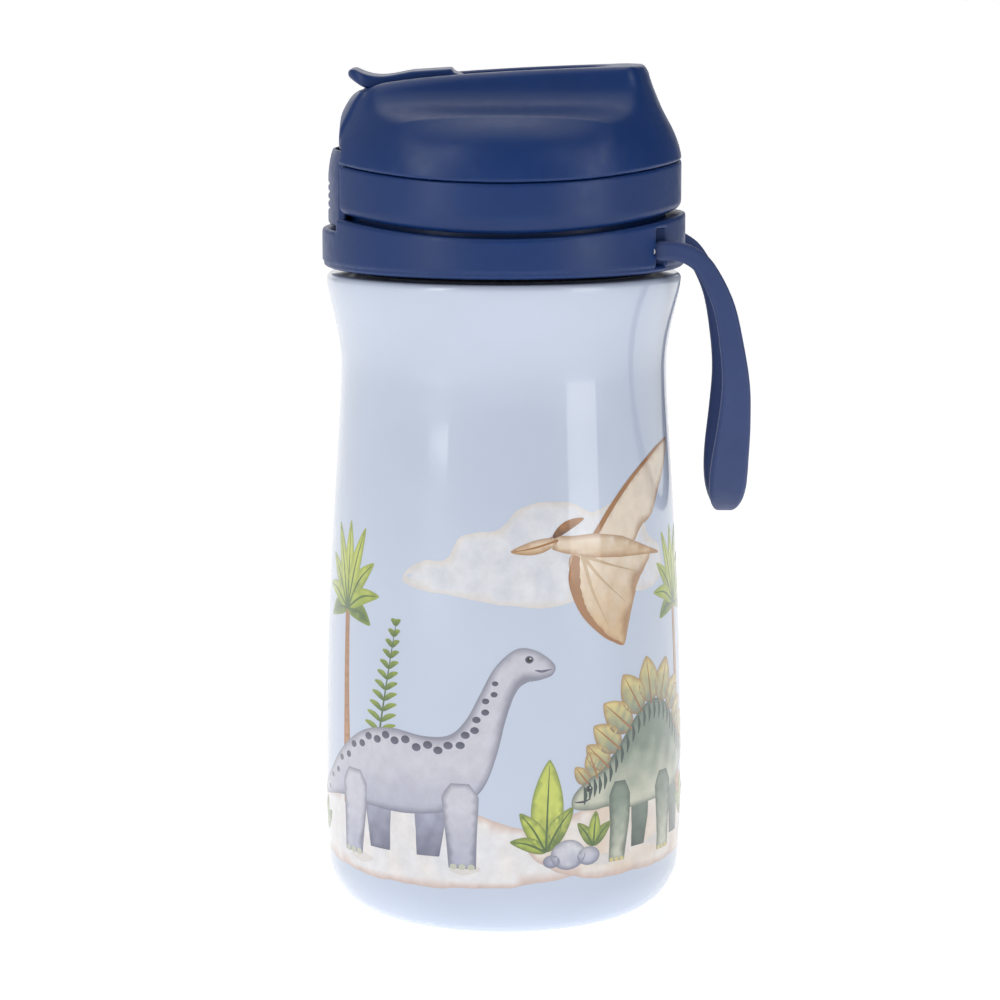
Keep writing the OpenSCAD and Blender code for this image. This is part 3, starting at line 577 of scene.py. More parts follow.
pin_top_z = cubic(dome_low_z, dome_low_z + 0.49 * dome_slope_drop, dome_top_z - 0.24 * dome_slope_drop,
                  dome_top_z, 0.38)
flap_x, flap_z = -flap_pin_x, pin_top_z - flap_pin_sink
flap_low_z = pin_top_z - flap_plate_sink
recess_z = pin_top_z - recess_depth
spout_z = recess_z - spout_sink
pocket_half_w, pocket_wall_half_w = 7.0, 9.6
hook_room_x = dome_left_x + 1.95
mouth_x = hook_room_x + 2.9
pocket_x1 = flap_x + 3
pocket_floor_z = spout_z - barrel_r - 1.7
pocket_floor_t = 1.8
latch_x, latch_z = -(lid_r - latch_inset), band_z + latch_rise
pocket_floor_x = latch_x + 3.2
button_z = collar_top_z + button_rise
button_top_z = button_z + button_h
button_r = lid_r - button_sink
button_in_r = button_r - button_t
button_travel_r = skirt_r + 0.1
ear_half_w, ear_t = 10.5, 1.8
prong_x, prong_w, hook_w, prong_y, prong_t = hook_room_x + 1, 1.2, 0.6, 6.0, 1.5
hook_z = recess_z - 1.7
hook_top_z = hook_z + 1
recess_end_x = flap_x + recess_len - channel_half_w


def dome_outer(x, y, z):
    """The outside of the dome: a round shoulder with the spine run into it."""
    r = np.hypot(x, y)
    spine = smax(smax(side_of(x, z), half_of(np.abs(y), z), 1.9), ring_of(r, z), 2.2)
    return smin(skirt_of(r, z), spine, 3.4)


def latch_opening(x, y, z, top):
    """The room the latch's face moves in, below that height."""
    r = np.hypot(x, y)
    f = smax(button_travel_r - r, np.abs(y) - button_half_w - window_gap, 0.5)
    return smax(smax(f, x, 0.5), z - top, 0.8)


def dome_field(x, y, z):
    """The dome: a hollow shell with the spout's pocket, the flap's recess and the latch's window."""
    outer = dome_outer(x, y, z)
    r = np.hypot(x, y)
    strip = smax(smax(outer - 0.45, np.abs(y) - 13.2, 0.9), x + 29, 1.0)
    outer = smin(outer, strip, 0.5)
    room = smax(skirt_of(r, z) + lid_wall, z - seam_z - 9.5, 1.0)
    side_room = box_field(x, y, z, dome_left_x + 9, dome_end_x - 3, lid_r, seam_z, flap_low_z - 0.2)
    side_room = smax(smax(outer + lid_wall, channel_half_w + lid_wall - np.abs(y), 1.0), side_room, 1.0)
    f = smax(outer, -smin(room, side_room, 1.0), 0.6)
    walls = box_field(x, y, z, pocket_floor_x, pocket_x1 + 2, pocket_wall_half_w,
                      pocket_floor_z - pocket_floor_t, recess_z + 2)
    f = smin(f, smax(walls, outer + 0.5, 0.5), 0.5)
    plan = np.hypot(np.maximum(x - recess_end_x, 0), y) - channel_half_w
    recess = smax(smax(plan, mouth_x - x, 0.8), recess_z - z, 1.4)
    lane = smax(smax(np.abs(y) - channel_half_w, x - mouth_x - 1, 0.5), flap_low_z - 0.3 - z, 0.6)
    pocket = box_field(x, y, z, mouth_x, pocket_x1, pocket_half_w, pocket_floor_z, dome_top_z + 9, 0.9)
    hooks = box_field(x, y, z, hook_room_x, mouth_x + 1, pocket_half_w, seam_z - 9, hook_top_z + 0.6, 0.4)
    pins = np.minimum(rod_y(x, y, z, trunnion_r + run_gap, pocket_wall_half_w - 0.4, -spout_x, spout_z),
                      rod_y(x, y, z, flap_pin_r, spine_half_w - 2, flap_x, flap_z))
    stem = smax(np.hypot(x + spout_x, y) - connector_r - 1.2, z - seam_z - 8, 0.2)
    window = latch_opening(x, y, z, button_top_z + window_gap)
    for x1, half_w, z1, k in ((latch_x + 2.4, ear_half_w + 0.6, button_top_z + window_gap, 0.5),
                              (dome_left_x, button_half_w, seam_z + 13, 0.9)):
        window = np.minimum(window, box_field(x, y, z, -99, x1, half_w, seam_z - 9, z1, k))
    f = smax(f, -smin(recess, lane, 0.4), 1.0)
    f = smax(f, -smin(pocket, hooks, 0.3), 0.6)
    f = smax(f, -np.minimum(pins, stem), 0.25)
    f = smax(f, -window, 0.7)
    return smax(f, wave(seam_z, seam_rise, x) - z + 0.06, 0.7)


def helix(x, y, z, radius, side, z0, turns):
    """A thread ridge that stands out of a wall of that radius."""
    r = np.hypot(x, y)
    angle = np.arctan2(y, x) % (2 * math.pi)
    f = 9.0
    for turn in range(2):
        level = z0 + thread_pitch * (turn + angle / (2 * math.pi))
        live = (turn + angle / (2 * math.pi) - turns) * 2 * math.pi * radius
        ridge = smax(np.abs(z - level) + 0.4 * np.abs(r - radius) - 0.85,
                     smax(side * (r - radius) - thread_depth, -side * (r - radius) - 0.3, 0.2), 0.3)
        f = smin(f, smax(ridge, live, 0.3), 0.2)
    return f


def base_field(x, y, z):
    """The lid's band, deck and threaded skirt, with the latch's ears and the spring's wall."""
    r = np.hypot(x, y)
    taper = lid_r - 0.035 * np.maximum(band_z + 4.5 - z, 0) ** 2
    band = smax(r - taper, lid_r - lid_wall - r, 0.5)
    band = smax(band, wave(band_z, band_rise, x) - z, 1.7)
    band = smax(band, z - wave(seam_z, seam_rise, x) + 0.08, 0.7)
    deck = smax(r - lid_r + lid_wall - 0.5, np.abs(z - deck_z - deck_t / 2) - deck_t / 2, 0.4)
    pipe = smax(smax(r - skirt_r, skirt_in_r - r, 0.3), smax(skirt_z - z, z - deck_z - 1, 0.3), 0.4)
    thread = helix(x, y, z, skirt_in_r, -1, neck_top_z - thread_drop - thread_pitch / 2, 1.0)
    f = smin(smin(band, deck, 0.4), pipe, 0.5)
    f = smax(f, -latch_opening(x, y, z, 999), 0.5)
    f = smax(f, -(np.hypot(x + spout_x, y) - connector_r), 0.2)
    f = smax(f, -(np.hypot(x - 14, y - 9) - 1.5), 0.2)
    ears = box_field(x, y, z, latch_x - 1.05, latch_x + 1.45, ear_t / 2, deck_z + 1, latch_z + 1.5, 0.4,
                     nearer(y, ear_half_w - ear_t / 2))
    ears = smax(ears, -(np.hypot(x - latch_x, z - latch_z) - latch_pin_r), 0.15)
    wall = box_field(x, y, z, latch_x + 3.8, latch_x + 5.3, 3, deck_z + 1,
                     pocket_floor_z - pocket_floor_t - 0.3)
    return smin(smin(f, thread, 0.3), np.minimum(ears, wall), 0.4)


def collar_field(x, y, z):
    """The ring that carries the strap: a grooved lip, a notch for the latch and two slots with pins."""
    r = np.hypot(x, y)
    f = smax(r - collar_r, skirt_r + 0.02 - r, 0.5)
    f = smax(f, collar_z - z, 1.9)
    f = smax(f, z - wave(collar_top_z, collar_rise, x), 0.9)
    lip = smax(np.abs(z - collar_z - 1.15) - 0.22, collar_r - 0.32 - r, 0.1)
    f = smax(f, -lip, 0.3)
    notch = smax(np.abs(y) - button_half_w - 0.6, np.maximum(x, button_z - 0.5 - z), 0.8)
    f = smax(f, -notch, 0.9)
    for at in (-strand_y, strand_y):
        slot = box_field(x, y, z, strap_pin_x - strap_eye_r - 0.5, 99, strap_t / 2 + 0.35,
                         strap_pin_z - strap_eye_r - 1.4, strap_pin_z + strap_eye_r + 2.9, 0.5, at)
        pin = rod_y(x, y, z, strap_pin_r, strap_t / 2 + 0.8, strap_pin_x, strap_pin_z, 0.2, at)
        f = smax(smax(f, -slot, 0.5), -pin, 0.2)
    return f


pins_low, pins_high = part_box("strap_pins")
strap_pin_x, strap_pin_z = (pins_low.x + pins_high.x) / 2 / MM, (pins_low.z + pins_high.z) / 2 / MM
strap_eye_r = strap_end_w / 2 - strap_eye_relief

button_outline = outline_field(
    [(button_in_r, button_z), (button_r - 0.5, button_z), (button_r, button_z + 0.8)]
    + curve((button_r, button_z + 0.6 * button_h), (button_r - 0.1, button_top_z - 3.6),
            (button_in_r + 1.1, button_top_z - 1.4), (button_in_r + 0.5, button_top_z), 12)
    + [(button_in_r, button_top_z)])


def button_field(x, y, z):
    """The latch: a ribbed face, an arm to its knuckle, and two hooked prongs."""
    r = np.hypot(x, y)
    face = smax(smax(button_outline(r, z), np.abs(y) - button_half_w, 1.3), x, 0.5)
    for k in range(4):
        ridge = smax(np.abs(z - button_z - 3.6 - 1.7 * k) - 0.28, button_r - 0.38 - r, 0.2)
        face = smax(face, -smax(ridge, np.abs(y) - 7.5 + 0.5 * k, 0.6), 0.3)
    arm_half_w = ear_half_w - ear_t - 0.4
    knuckle = rod_y(x, y, z, latch_knuckle_r, arm_half_w, latch_x, latch_z)
    arm = smax(box_field(x, y, z, -99, latch_x, arm_half_w, latch_z - latch_knuckle_r,
                         latch_z + latch_knuckle_r, 0.3), r - button_in_r - 0.3, 0.3)
    f = smin(smin(face, arm, 0.5), knuckle, 0.4)
    for x1, z0, k in ((prong_x + prong_w, latch_z, 0.3), (prong_x + prong_w + hook_w, hook_z, 0.2)):
        prong = box_field(x, y, z, prong_x, x1, prong_t / 2, z0, hook_top_z, 0.2, nearer(y, prong_y))
        f = smin(f, prong, k)
    return smax(f, -(np.hypot(x - latch_x, z - latch_z) - latch_pin_r - run_gap), 0.15)


flap_half_w = channel_half_w - flap_side_gap
flap_top_z = pin_top_z + flap_proud
tab_x = -tab_reach
flap_outline = outline_field(
    [(flap_x, flap_z + 2), (flap_x - 1, flap_top_z), (flap_x - 9, flap_top_z - 0.5)]
    + curve((flap_x - 9, flap_top_z - 0.5), (flap_x - 13.5, flap_top_z - 1.2),
            (flap_x - 16.5, flap_top_z - 2.6), (tab_x + 1.8, flap_top_z - 0.1), 20)
    + curve((tab_x + 1.8, flap_top_z - 0.1), (tab_x + 0.2, flap_top_z + 0.1), (tab_x - 0.2, flap_top_z - 0.9),
            (tab_x + 0.3, flap_top_z - 1.7), 12)
    + curve((tab_x + 0.3, flap_top_z - 1.7), (tab_x + 1.6, flap_top_z - tab_t), (tab_x + 3, flap_low_z + 0.3),
            (tab_x + 5, flap_low_z), 12)
    + [(flap_x - 2, flap_low_z), (flap_x, flap_z - 1)], 0.1, 3)


def flap_field(x, y, z):
    """The flap: a plate with a turned-up tab, a knuckle, and two teeth for the hooks."""
    corner = 4.5
    plan = np.hypot(np.maximum(tab_x + corner - x, 0),
                    np.maximum(np.abs(y) - flap_half_w + corner, 0)) - corner
    f = smax(flap_outline(x, z), plan, 0.8)
    f = smin(f, rod_y(x, y, z, flap_knuckle_r, flap_half_w, flap_x, flap_z, 0.5), 0.6)
    tooth = box_field(x, y, z, mouth_x + 1.5, mouth_x + 3, prong_t / 2, recess_z - 2.9, flap_low_z + 0.5, 0.3,
                      nearer(y, prong_y))
    f = smin(f, tooth, 0.4)
    return smax(f, -(np.hypot(x - flap_x, z - flap_z) - flap_pin_r - run_gap), 0.15)


def pad_field(x, y, z):
    """The soft pad under the flap."""
    f = box_field(x, y, z, mouth_x + 3.7, flap_x - 5, 4.8, recess_z - 0.6, flap_low_z + 0.5, 1.2)
    return smax(f, 0.02 - flap_outline(x, z), 0.2)


def nozzle(x, y, z, r, x0, x1, k):
    """A rod along X, in line with the spout."""
    return smax(np.hypot(y, z - spout_z) - r, smax(x0 - x, x - x1, k), k)


def spout_field(x, y, z):
    """The spout: a barrel on trunnions with a nozzle and its bent passage."""
    f = rod_y(x, y, z, barrel_r, pocket_half_w - 0.3, -spout_x, spout_z, 0.8)
    f = smin(f, rod_y(x, y, z, trunnion_r, pocket_wall_half_w - 0.5, -spout_x, spout_z, 0.5), 0.3)
    f = smin(f, nozzle(x, y, z, nozzle_r, -spout_x - nozzle_len, -spout_x, 0.5), 0.9)
    f = smax(f, -nozzle(x, y, z, passage_r, -spout_x - nozzle_len - 9, -spout_x, 0.3), 0.3)
    open_way = math.radians(60)
    dx, dz = -math.sin(open_way + math.pi), math.cos(open_way + math.pi)
    along = (x + spout_x) * -dx + (z - spout_z) * dz
    across = np.hypot((x + spout_x) * dz + (z - spout_z) * dx, y)
    return smax(f, -smax(across - passage_r, -along, 0.2), 0.3)


def tip_field(x, y, z):
    """The soft sleeve over the nozzle."""
    f = nozzle(x, y, z, nozzle_r + tip_t, -spout_x - nozzle_len - 0.8, -spout_x - barrel_r - 1.2, 2.2)
    bead = np.hypot(np.hypot(y, z - spout_z) - nozzle_r - 0.3, x + spout_x + nozzle_len - 1.4) - 0.85
    f = smin(f, bead, 1.2)
    f = smax(f, -nozzle(x, y, z, nozzle_r + 0.02, -spout_x - nozzle_len, 99, 0.2), 0.2)
    return smax(f, -(np.hypot(y, z - spout_z) - passage_r * 0.8), 0.5)


# ---------------- carry loop
def strand(side):
    """One side of the loop, from its eye down to the middle."""
    x, z, y, d = collar_r, strap_pin_z, side * strand_y, strap_drop
    fall = ((7.1, 0.99, 0.2), (9, 0.97, 0.36), (9.9, 0.92, 0.5), (9.7, 0.83, 0.64), (9.1, 0.68, 0.78),
            (8.8, 0.48, 0.89), (8.7, 0.24, 0.955))
    return ([(strap_pin_x + 1.6, y, z), (x - 3, y, z), (x + 0.6, y, z - 1.3), (x + 3.6, y, z - 4.2)]
            + [(x + out, y * apart, z - down * d) for out, apart, down in fall])


def strap_frames():
    """Centre, width direction, thickness direction and half width along the loop."""
    route = np.array(strand(-1) + [(collar_r + 8.7, 0, strap_pin_z - 0.975 * strap_drop)] + strand(1)[::-1])
    n = len(route) - 1
    way = unit(np.array([route[min(i + 1, n)] - route[max(i - 1, 0)] for i in range(n + 1)]))
    sign = np.where(np.arange(n + 1) < n / 2, 1.0, -1.0)
    wide = np.stack([-way[:, 2] * sign, np.zeros(n + 1), way[:, 0] * sign], 1)
    wide[n // 2] = (1, 0, 0)
    centre, wide = through(route, 10), through(unit(wide), 10)
    way = unit(np.gradient(centre, axis=0))
    wide = unit(wide - (wide * way).sum(1)[:, None] * way)
    thin = np.cross(way, wide)
    u = np.linspace(0, 1, len(centre))
    low = np.sin(math.pi * u)
    half = (strap_end_w + (strap_wide_w - strap_end_w) * low**4 - (strap_wide_w - strap_tip_w) * low**40) / 2
    return centre, wide, thin, half, way


STRAP = strap_frames()


def strap_field(x, y, z):
    """The loop's ribbon, looked up from the nearest of its frames, and its two eyes."""
    x, y, z = np.broadcast_arrays(x, y, z)
    p = np.stack([x.ravel(), y.ravel(), z.ravel()], 1)
    centre, wide, thin, half, way = STRAP
    out = np.full(len(p), 6.0)
    best = np.full(len(p), 1e9)
    pick = np.zeros(len(p), int)
    batch = 60000
    for start in range(0, len(p), batch):
        q = p[start:start + batch]
        d = (q * q).sum(1)[:, None] - 2 * q @ centre.T + (centre * centre).sum(1)[None, :]
        k = d.argmin(1)
        pick[start:start + batch] = k
        best[start:start + batch] = d[np.arange(len(q)), k]
    near = best < 9.0**2
    k = pick[near]
    off = p[near] - centre[k]
    step = (off * way[k]).sum(1)
    other = np.clip(k + np.where(step > 0, 1, -1), 0, len(centre) - 1)
    gap = np.linalg.norm(centre[other] - centre[k], axis=1)
    t = np.clip(np.abs(step) / np.maximum(gap, 1e-6), 0, 1)
    t = np.where(other == k, 0, t)[:, None]
    c, w, h = (row[k] * (1 - t) + row[other] * t for row in (centre, wide, thin))
    half_w = half[k] * (1 - t[:, 0]) + half[other] * t[:, 0]
    off = p[near] - c
    a, b = np.abs((off * w).sum(1)), np.abs((off * h).sum(1))
    e = np.abs((off * way[k]).sum(1))
    e = np.where((k == 0) | (k == len(centre) - 1), e - 0.2, -1.0)
    edge = 1.0
    dx, dy = a - half_w + edge, b - strap_t / 2 + edge
    ribbon = np.hypot(np.maximum(dx, 0), np.maximum(dy, 0)) + np.minimum(np.maximum(dx, dy), 0) - edge
    crown = 0.22 * np.clip(1 - (a / np.maximum(half_w, 0.5)) ** 2, 0, 1) * np.clip((half_w - 2.4) / 2, 0, 1)
    out[near] = smax(ribbon + crown, e, 0.3)
    f = out.reshape(x.shape)
    for at in (-strand_y, strand_y):
        eye = rod_y(x, y, z, strap_eye_r, strap_t / 2, strap_pin_x, strap_pin_z, 0.5, at)
        neck = box_field(x, y, z, strap_pin_x, strap_pin_x + 2.6, strap_t / 2, strap_pin_z - strap_eye_r,
                         strap_pin_z + strap_eye_r, 0.5, at)
        f = smin(f, np.minimum(eye, neck), 0.5)
        f = smax(f, -rod_y(x, y, z, strap_pin_r + run_gap, 9, strap_pin_x, strap_pin_z, 0.2, at), 0.2)
    return f


# ---------------- printed artwork
# A place on the print is (s, z) in mm: s runs round the bottle from the front, and z is the height.
# One strip covers half of the bottle.
PRINT_R = 37.5
STRIP_HALF = math.pi * PRINT_R / 2 - 0.05
# How far ink stands out from the enamel: the lowest layer, each layer over it, and the hidden back.
INK_BASE, INK_LAYER, INK_BACK = 0.018, 0.010, -0.04


def resample(line, step):
    """Evenly spaced points along a closed line."""
    p = np.vstack([line, line[:1]])
    run = np.concatenate([[0], np.cumsum(np.linalg.norm(np.diff(p, axis=0), axis=1))])
    at = np.linspace(0, run[-1], max(int(run[-1] / step), 6) + 1)[:-1]
    return np.stack([np.interp(at, run, p[:, 0]), np.interp(at, run, p[:, 1])], 1)


def mixed(a, b, t):
    """Colours or rows of colours, mixed row by row."""
    t = np.clip(t, 0, 1)[:, None]
    return np.array(a)[..., :3] * (1 - t) + np.array(b)[..., :3] * t


def wash(p, size, seed):
    """A soft random pattern from -1 to 1 whose patches are about that size."""
    rng = np.random.default_rng(seed)
    out = np.zeros(len(p))
    for _ in range(7):
        way = rng.uniform(0, 2 * math.pi)
        k = 2 * math.pi / (size * rng.uniform(0.7, 1.6))
        out += np.sin(k * (p[:, 0] * math.cos(way) + p[:, 1] * math.sin(way)) + rng.uniform(0, 7))
    return out / 4


def patches(light, dark, size, seed, edge=None, amount=0.5):
    """Paint with soft patches of a darker tone, and another tone along the edge."""
    def paint(p, depth):
        tone = mixed(light, dark, 0.5 + amount * wash(p, size, seed))
        return tone if edge is None else mixed(edge, tone, depth)
    return paint


def ramp(low, high, z0, z1, size=3, seed=1, amount=0.2, edge=None):
    """Paint that changes from one tone at height z0 to another at z1."""
    def paint(p, depth):
        tone = mixed(low, high, (p[:, 1] - z0) / (z1 - z0) + amount * wash(p, size, seed))
        return tone if edge is None else mixed(edge, tone, 0.35 + 0.65 * depth)
    return paint


def flat_skin(outline, grid, step):
    """Triangles that fill an outline, with the outline's points first."""
    ring = resample(outline, step)
    low, high = ring.min(0), ring.max(0)
    s, z = np.meshgrid(np.arange(low[0], high[0], grid), np.arange(low[1], high[1], grid), indexing="ij")
    s = s + (np.arange(s.shape[1]) % 2) * grid / 2
    inner = np.stack([s.ravel(), z.ravel()], 1)
    far, within = edge_distance(inner, ring)
    inner = inner[within & (far > 0.45 * grid)]
    made = delaunay_2d_cdt([Vector(p) for p in np.vstack([ring, inner])], [], [list(range(len(ring)))], 1,
                           1e-5, False)
    places = np.array([tuple(v) for v in made[0]])
    faces = np.array([f for f in made[2] if len(f) == 3])
    a, b, c = (places[faces[:, i]] for i in range(3))
    turn = (b[:, 0] - a[:, 0]) * (c[:, 1] - a[:, 1]) - (b[:, 1] - a[:, 1]) * (c[:, 0] - a[:, 0])
    faces[turn < 0] = faces[turn < 0][:, ::-1]
    return places, faces[np.abs(turn) > 1e-9], edge_distance(places, ring)[0]


class Artwork:
    """A group of printed shapes: thin closed skins that lie on the bottle."""

    def __init__(self, name):
        self.name, self.count = name, 0
        self.places, self.outs, self.tints, self.edges, self.faces = [], [], [], [], []

    def shape(self, outline, layer, paint, grid, pool, step):
        """Fill an outline. A higher layer lies over a lower one, and pool is how wide its edge is."""
        places, faces, depth = flat_skin(outline, grid, step)
        depth = np.clip(depth / pool, 0, 1)
        tint = paint(places, depth) if callable(paint) else np.tile(paint[:3], (len(places), 1))
        n = len(places)
        directed = np.vstack([faces[:, [0, 1]], faces[:, [1, 2]], faces[:, [2, 0]]])
        _, first, times = np.unique(np.sort(directed, 1), axis=0, return_index=True, return_counts=True)
        a, b = directed[first[times == 1]].T
        wall = np.vstack([np.stack([b, a, a + n], 1), np.stack([b, a + n, b + n], 1)])
        self.faces += [faces + self.count, faces[:, ::-1] + self.count + n, wall + self.count]
        self.places += [places, places]
        self.outs += [np.full(n, INK_BASE + INK_LAYER * layer), np.full(n, INK_BACK)]
        self.tints += [tint, tint]
        self.edges += [depth, depth]
        self.count += 2 * n

    def finish(self):
        """Wrap the shapes round the bottle as one object."""
        place, out = np.vstack(self.places), np.concatenate(self.outs)
        angle, r = place[:, 0] / PRINT_R, body_radius(place[:, 1]) + out
        points = np.stack([r * np.sin(angle), -r * np.cos(angle), place[:, 1]], 1)
        lean = (body_radius(place[:, 1] + 0.2) - body_radius(place[:, 1] - 0.2)) / 0.4
        normals = unit(np.stack([np.sin(angle), -np.cos(angle), -lean], 1))
        obj = mesh_object(self.name, points, np.vstack(self.faces), normals)
        tint = np.hstack([np.clip(np.vstack(self.tints), 0, 1), np.ones((self.count, 1))]).astype(np.float32)
        edge = np.concatenate(self.edges).astype(np.float32)
        obj.data.attributes.new("tint", "FLOAT_COLOR", "POINT").data.foreach_set("color", tint.ravel())
        obj.data.attributes.new("edge", "FLOAT", "POINT").data.foreach_set("value", edge)
        dress(obj, ink, "bottle", "body_paint")


class Sketch:
    """Draws shapes on an artwork, moved along the print, and mirrored if flip is -1."""

    def __init__(self, art, ds=0.0, flip=1):
        self.art, self.ds, self.flip = art, ds, flip

    def fill(self, outline, layer, paint, grid=1.2, pool=0.9, step=0.5):
        outline = np.array(outline)
        outline[:, 0] = np.clip(outline[:, 0], -STRIP_HALF, STRIP_HALF)
        self.art.shape(outline * (self.flip, 1) + (self.ds, 0), layer, paint, grid, pool, step)

    def blob(self, points, per_span, layer, paint, grid, pool):
        """A filled smooth closed curve."""
        self.fill(through(points, per_span, closed=True), layer, paint, grid, pool)

    def line(self, points, widths, layer, paint, pool=0.5):
        """A brush stroke whose width changes along it."""
        line = through(points, 8)
        w = np.interp(np.linspace(0, 1, len(line)), np.linspace(0, 1, len(widths)), widths) / 2
        side = left_of(np.gradient(line, axis=0)) * w[:, None]
        self.fill(np.vstack([line + side, (line - side)[::-1]]), layer, paint, 1.2, pool, 0.35)

    def oval(self, s, z, rs, rz, layer, paint, grid=1.2, pool=0.3, step=0.25):
        a = np.linspace(0, 2 * math.pi, 25)[:-1]
        self.fill(np.stack([s + rs * np.cos(a), z + rz * np.sin(a)], 1), layer, paint, grid, pool, step)

    def leaf(self, base, tip, width, bend, layer, paint, vein=None):
        """A pointed leaf that bends sideways, with a vein along it."""
        base, tip = np.array(base, float), np.array(tip, float)
        across = np.array([base[1] - tip[1], tip[0] - base[0]]) / np.linalg.norm(tip - base)
        t = np.linspace(0, 1, 18)[:, None]
        line = base + (tip - base) * t + across * bend * np.sin(math.pi * t)
        half = 0.12 + (width / 2) * np.sin(math.pi * t**0.85) ** 0.8
        edge = across * half
        self.fill(np.vstack([line + edge, (line - edge)[::-1]]), layer, paint, 1.1, 0.7, 0.4)
        if vein:
            self.line([line[0], line[9], line[16]], [0.5, 0.35, 0.1], layer + 1, vein, 0.3)

    def patch(self, points, amount, seed, layer, paint, jag=15.0):
        """An area with an uneven painted edge. The points run clockwise."""
        line = resample(through(points, 10, closed=True), 0.5)
        run = np.arange(len(line)) * 0.5
        out = left_of(np.roll(line, -1, 0) - np.roll(line, 1, 0))
        rng = np.random.default_rng(seed)
        push = np.zeros(len(line))
        for k in range(1, 6):
            waves = max(round(run[-1] * k / jag), 1)
            bump = np.abs(np.sin(math.pi * waves * run / run[-1] + rng.uniform(0, 3))) ** 0.6
            push += bump * rng.uniform(0.5, 1) / k**0.7
        self.fill(line + out * (push - push.mean())[:, None] * amount, layer, paint, 2.0, 1.1)


PAPER, WARM, PINK, CLAY = srgb(228, 229, 234), srgb(236, 231, 228), srgb(222, 198, 188), srgb(220, 178, 138)
GREY, LILAC, SLATE, DEEP = srgb(204, 204, 216), srgb(172, 175, 197), srgb(108, 111, 136), srgb(66, 68, 86)
SAGE, FOREST, PALE, CREAM = srgb(126, 142, 128), srgb(64, 84, 78), srgb(206, 209, 190), srgb(226, 210, 140)
SAND, TAN, BROWN, UMBER = srgb(234, 220, 202), srgb(214, 184, 146), srgb(176, 122, 72), srgb(96, 66, 48)
LIME, LEAFY, MOSS, BARK = srgb(202, 212, 98), srgb(158, 178, 62), srgb(86, 116, 56), srgb(190, 138, 92)
EYE, SPARK = srgb(30, 30, 36), srgb(240, 240, 240)


def draw_eye(sketch, s, z, r, rim):
    """A dark eye in a coloured rim, with a glint."""
    sketch.oval(s, z, r, r * 0.9, 5, rim)
    sketch.oval(s, z, r * 0.66, r * 0.62, 6, EYE, pool=0.2, step=0.2)
    sketch.oval(s + 0.25 * r, z + 0.25 * r, r * 0.2, r * 0.2, 7, SPARK, pool=0.1, step=0.1)


def draw_legs(sketch, legs, top, foot_z, layer, paint, toe=None):
    """Stumpy legs, each given by where its top and its foot are and how wide it is."""
    knee_z = (top + foot_z) / 2
    for hip, foot, w in legs:
        way = [(hip, top), (hip, top - 3), (hip + 0.2, knee_z), (foot, foot_z + 3), (foot, foot_z)]
        sketch.line(way, [0.5 * w, w, 0.86 * w, 0.66 * w, 0.74 * w], layer, paint, 0.9)
        for k in range(3 if toe else 0):
            sketch.oval(foot + (k - 1) * 0.24 * w, foot_z + 0.35, 0.1 * w, 0.08 * w, layer + 1, toe)


def draw_scenery(sketch, seed):
    """Low hills along the foot of the print, and a cloud."""
    sketch.patch([(-60, 24), (-44, 28), (-28, 30.5), (-12, 29), (2, 25), (10, 21), (16, 15), (2, 12.4),
                  (-22, 11.6), (-46, 12.8), (-60, 15)], 0.9, seed, 0, patches(PAPER, WARM, 9, seed, PINK))
    sketch.patch([(4, 22), (16, 27.5), (32, 33), (46, 32), (58, 27), (66, 20), (54, 14.4), (34, 13.2),
                  (14, 14)], 0.8, seed + 1, 1, patches(WARM, srgb(226, 208, 190), 8, seed + 1, PINK))
    for s, z, w in ((22, 16.6, 9), (38, 18.5, 11), (54, 17.5, 9), (-34, 15.2, 8), (-8, 15.6, 7)):
        sketch.patch([(s - w / 2, z), (s, z + 1.3), (s + w / 2, z + 0.3), (s, z - 0.9)], 0.3,
                     seed + 60 + int(s), 2, patches(CLAY, PINK, 3, seed, WARM), 9)
    sketch.patch([(-22, 75), (-19, 79.5), (-12, 80), (-9, 85.5), (-1, 86.5), (4, 91.5), (14, 92), (20, 89.5),
                  (27, 91.5), (34, 88), (35, 83), (41, 80.5), (41, 75), (34, 72), (22, 73.2), (8, 70.6),
                  (-8, 72.6)], 0.5, seed + 20, 0,
                 patches(srgb(228, 230, 235), srgb(214, 217, 226), 8, seed, WARM))


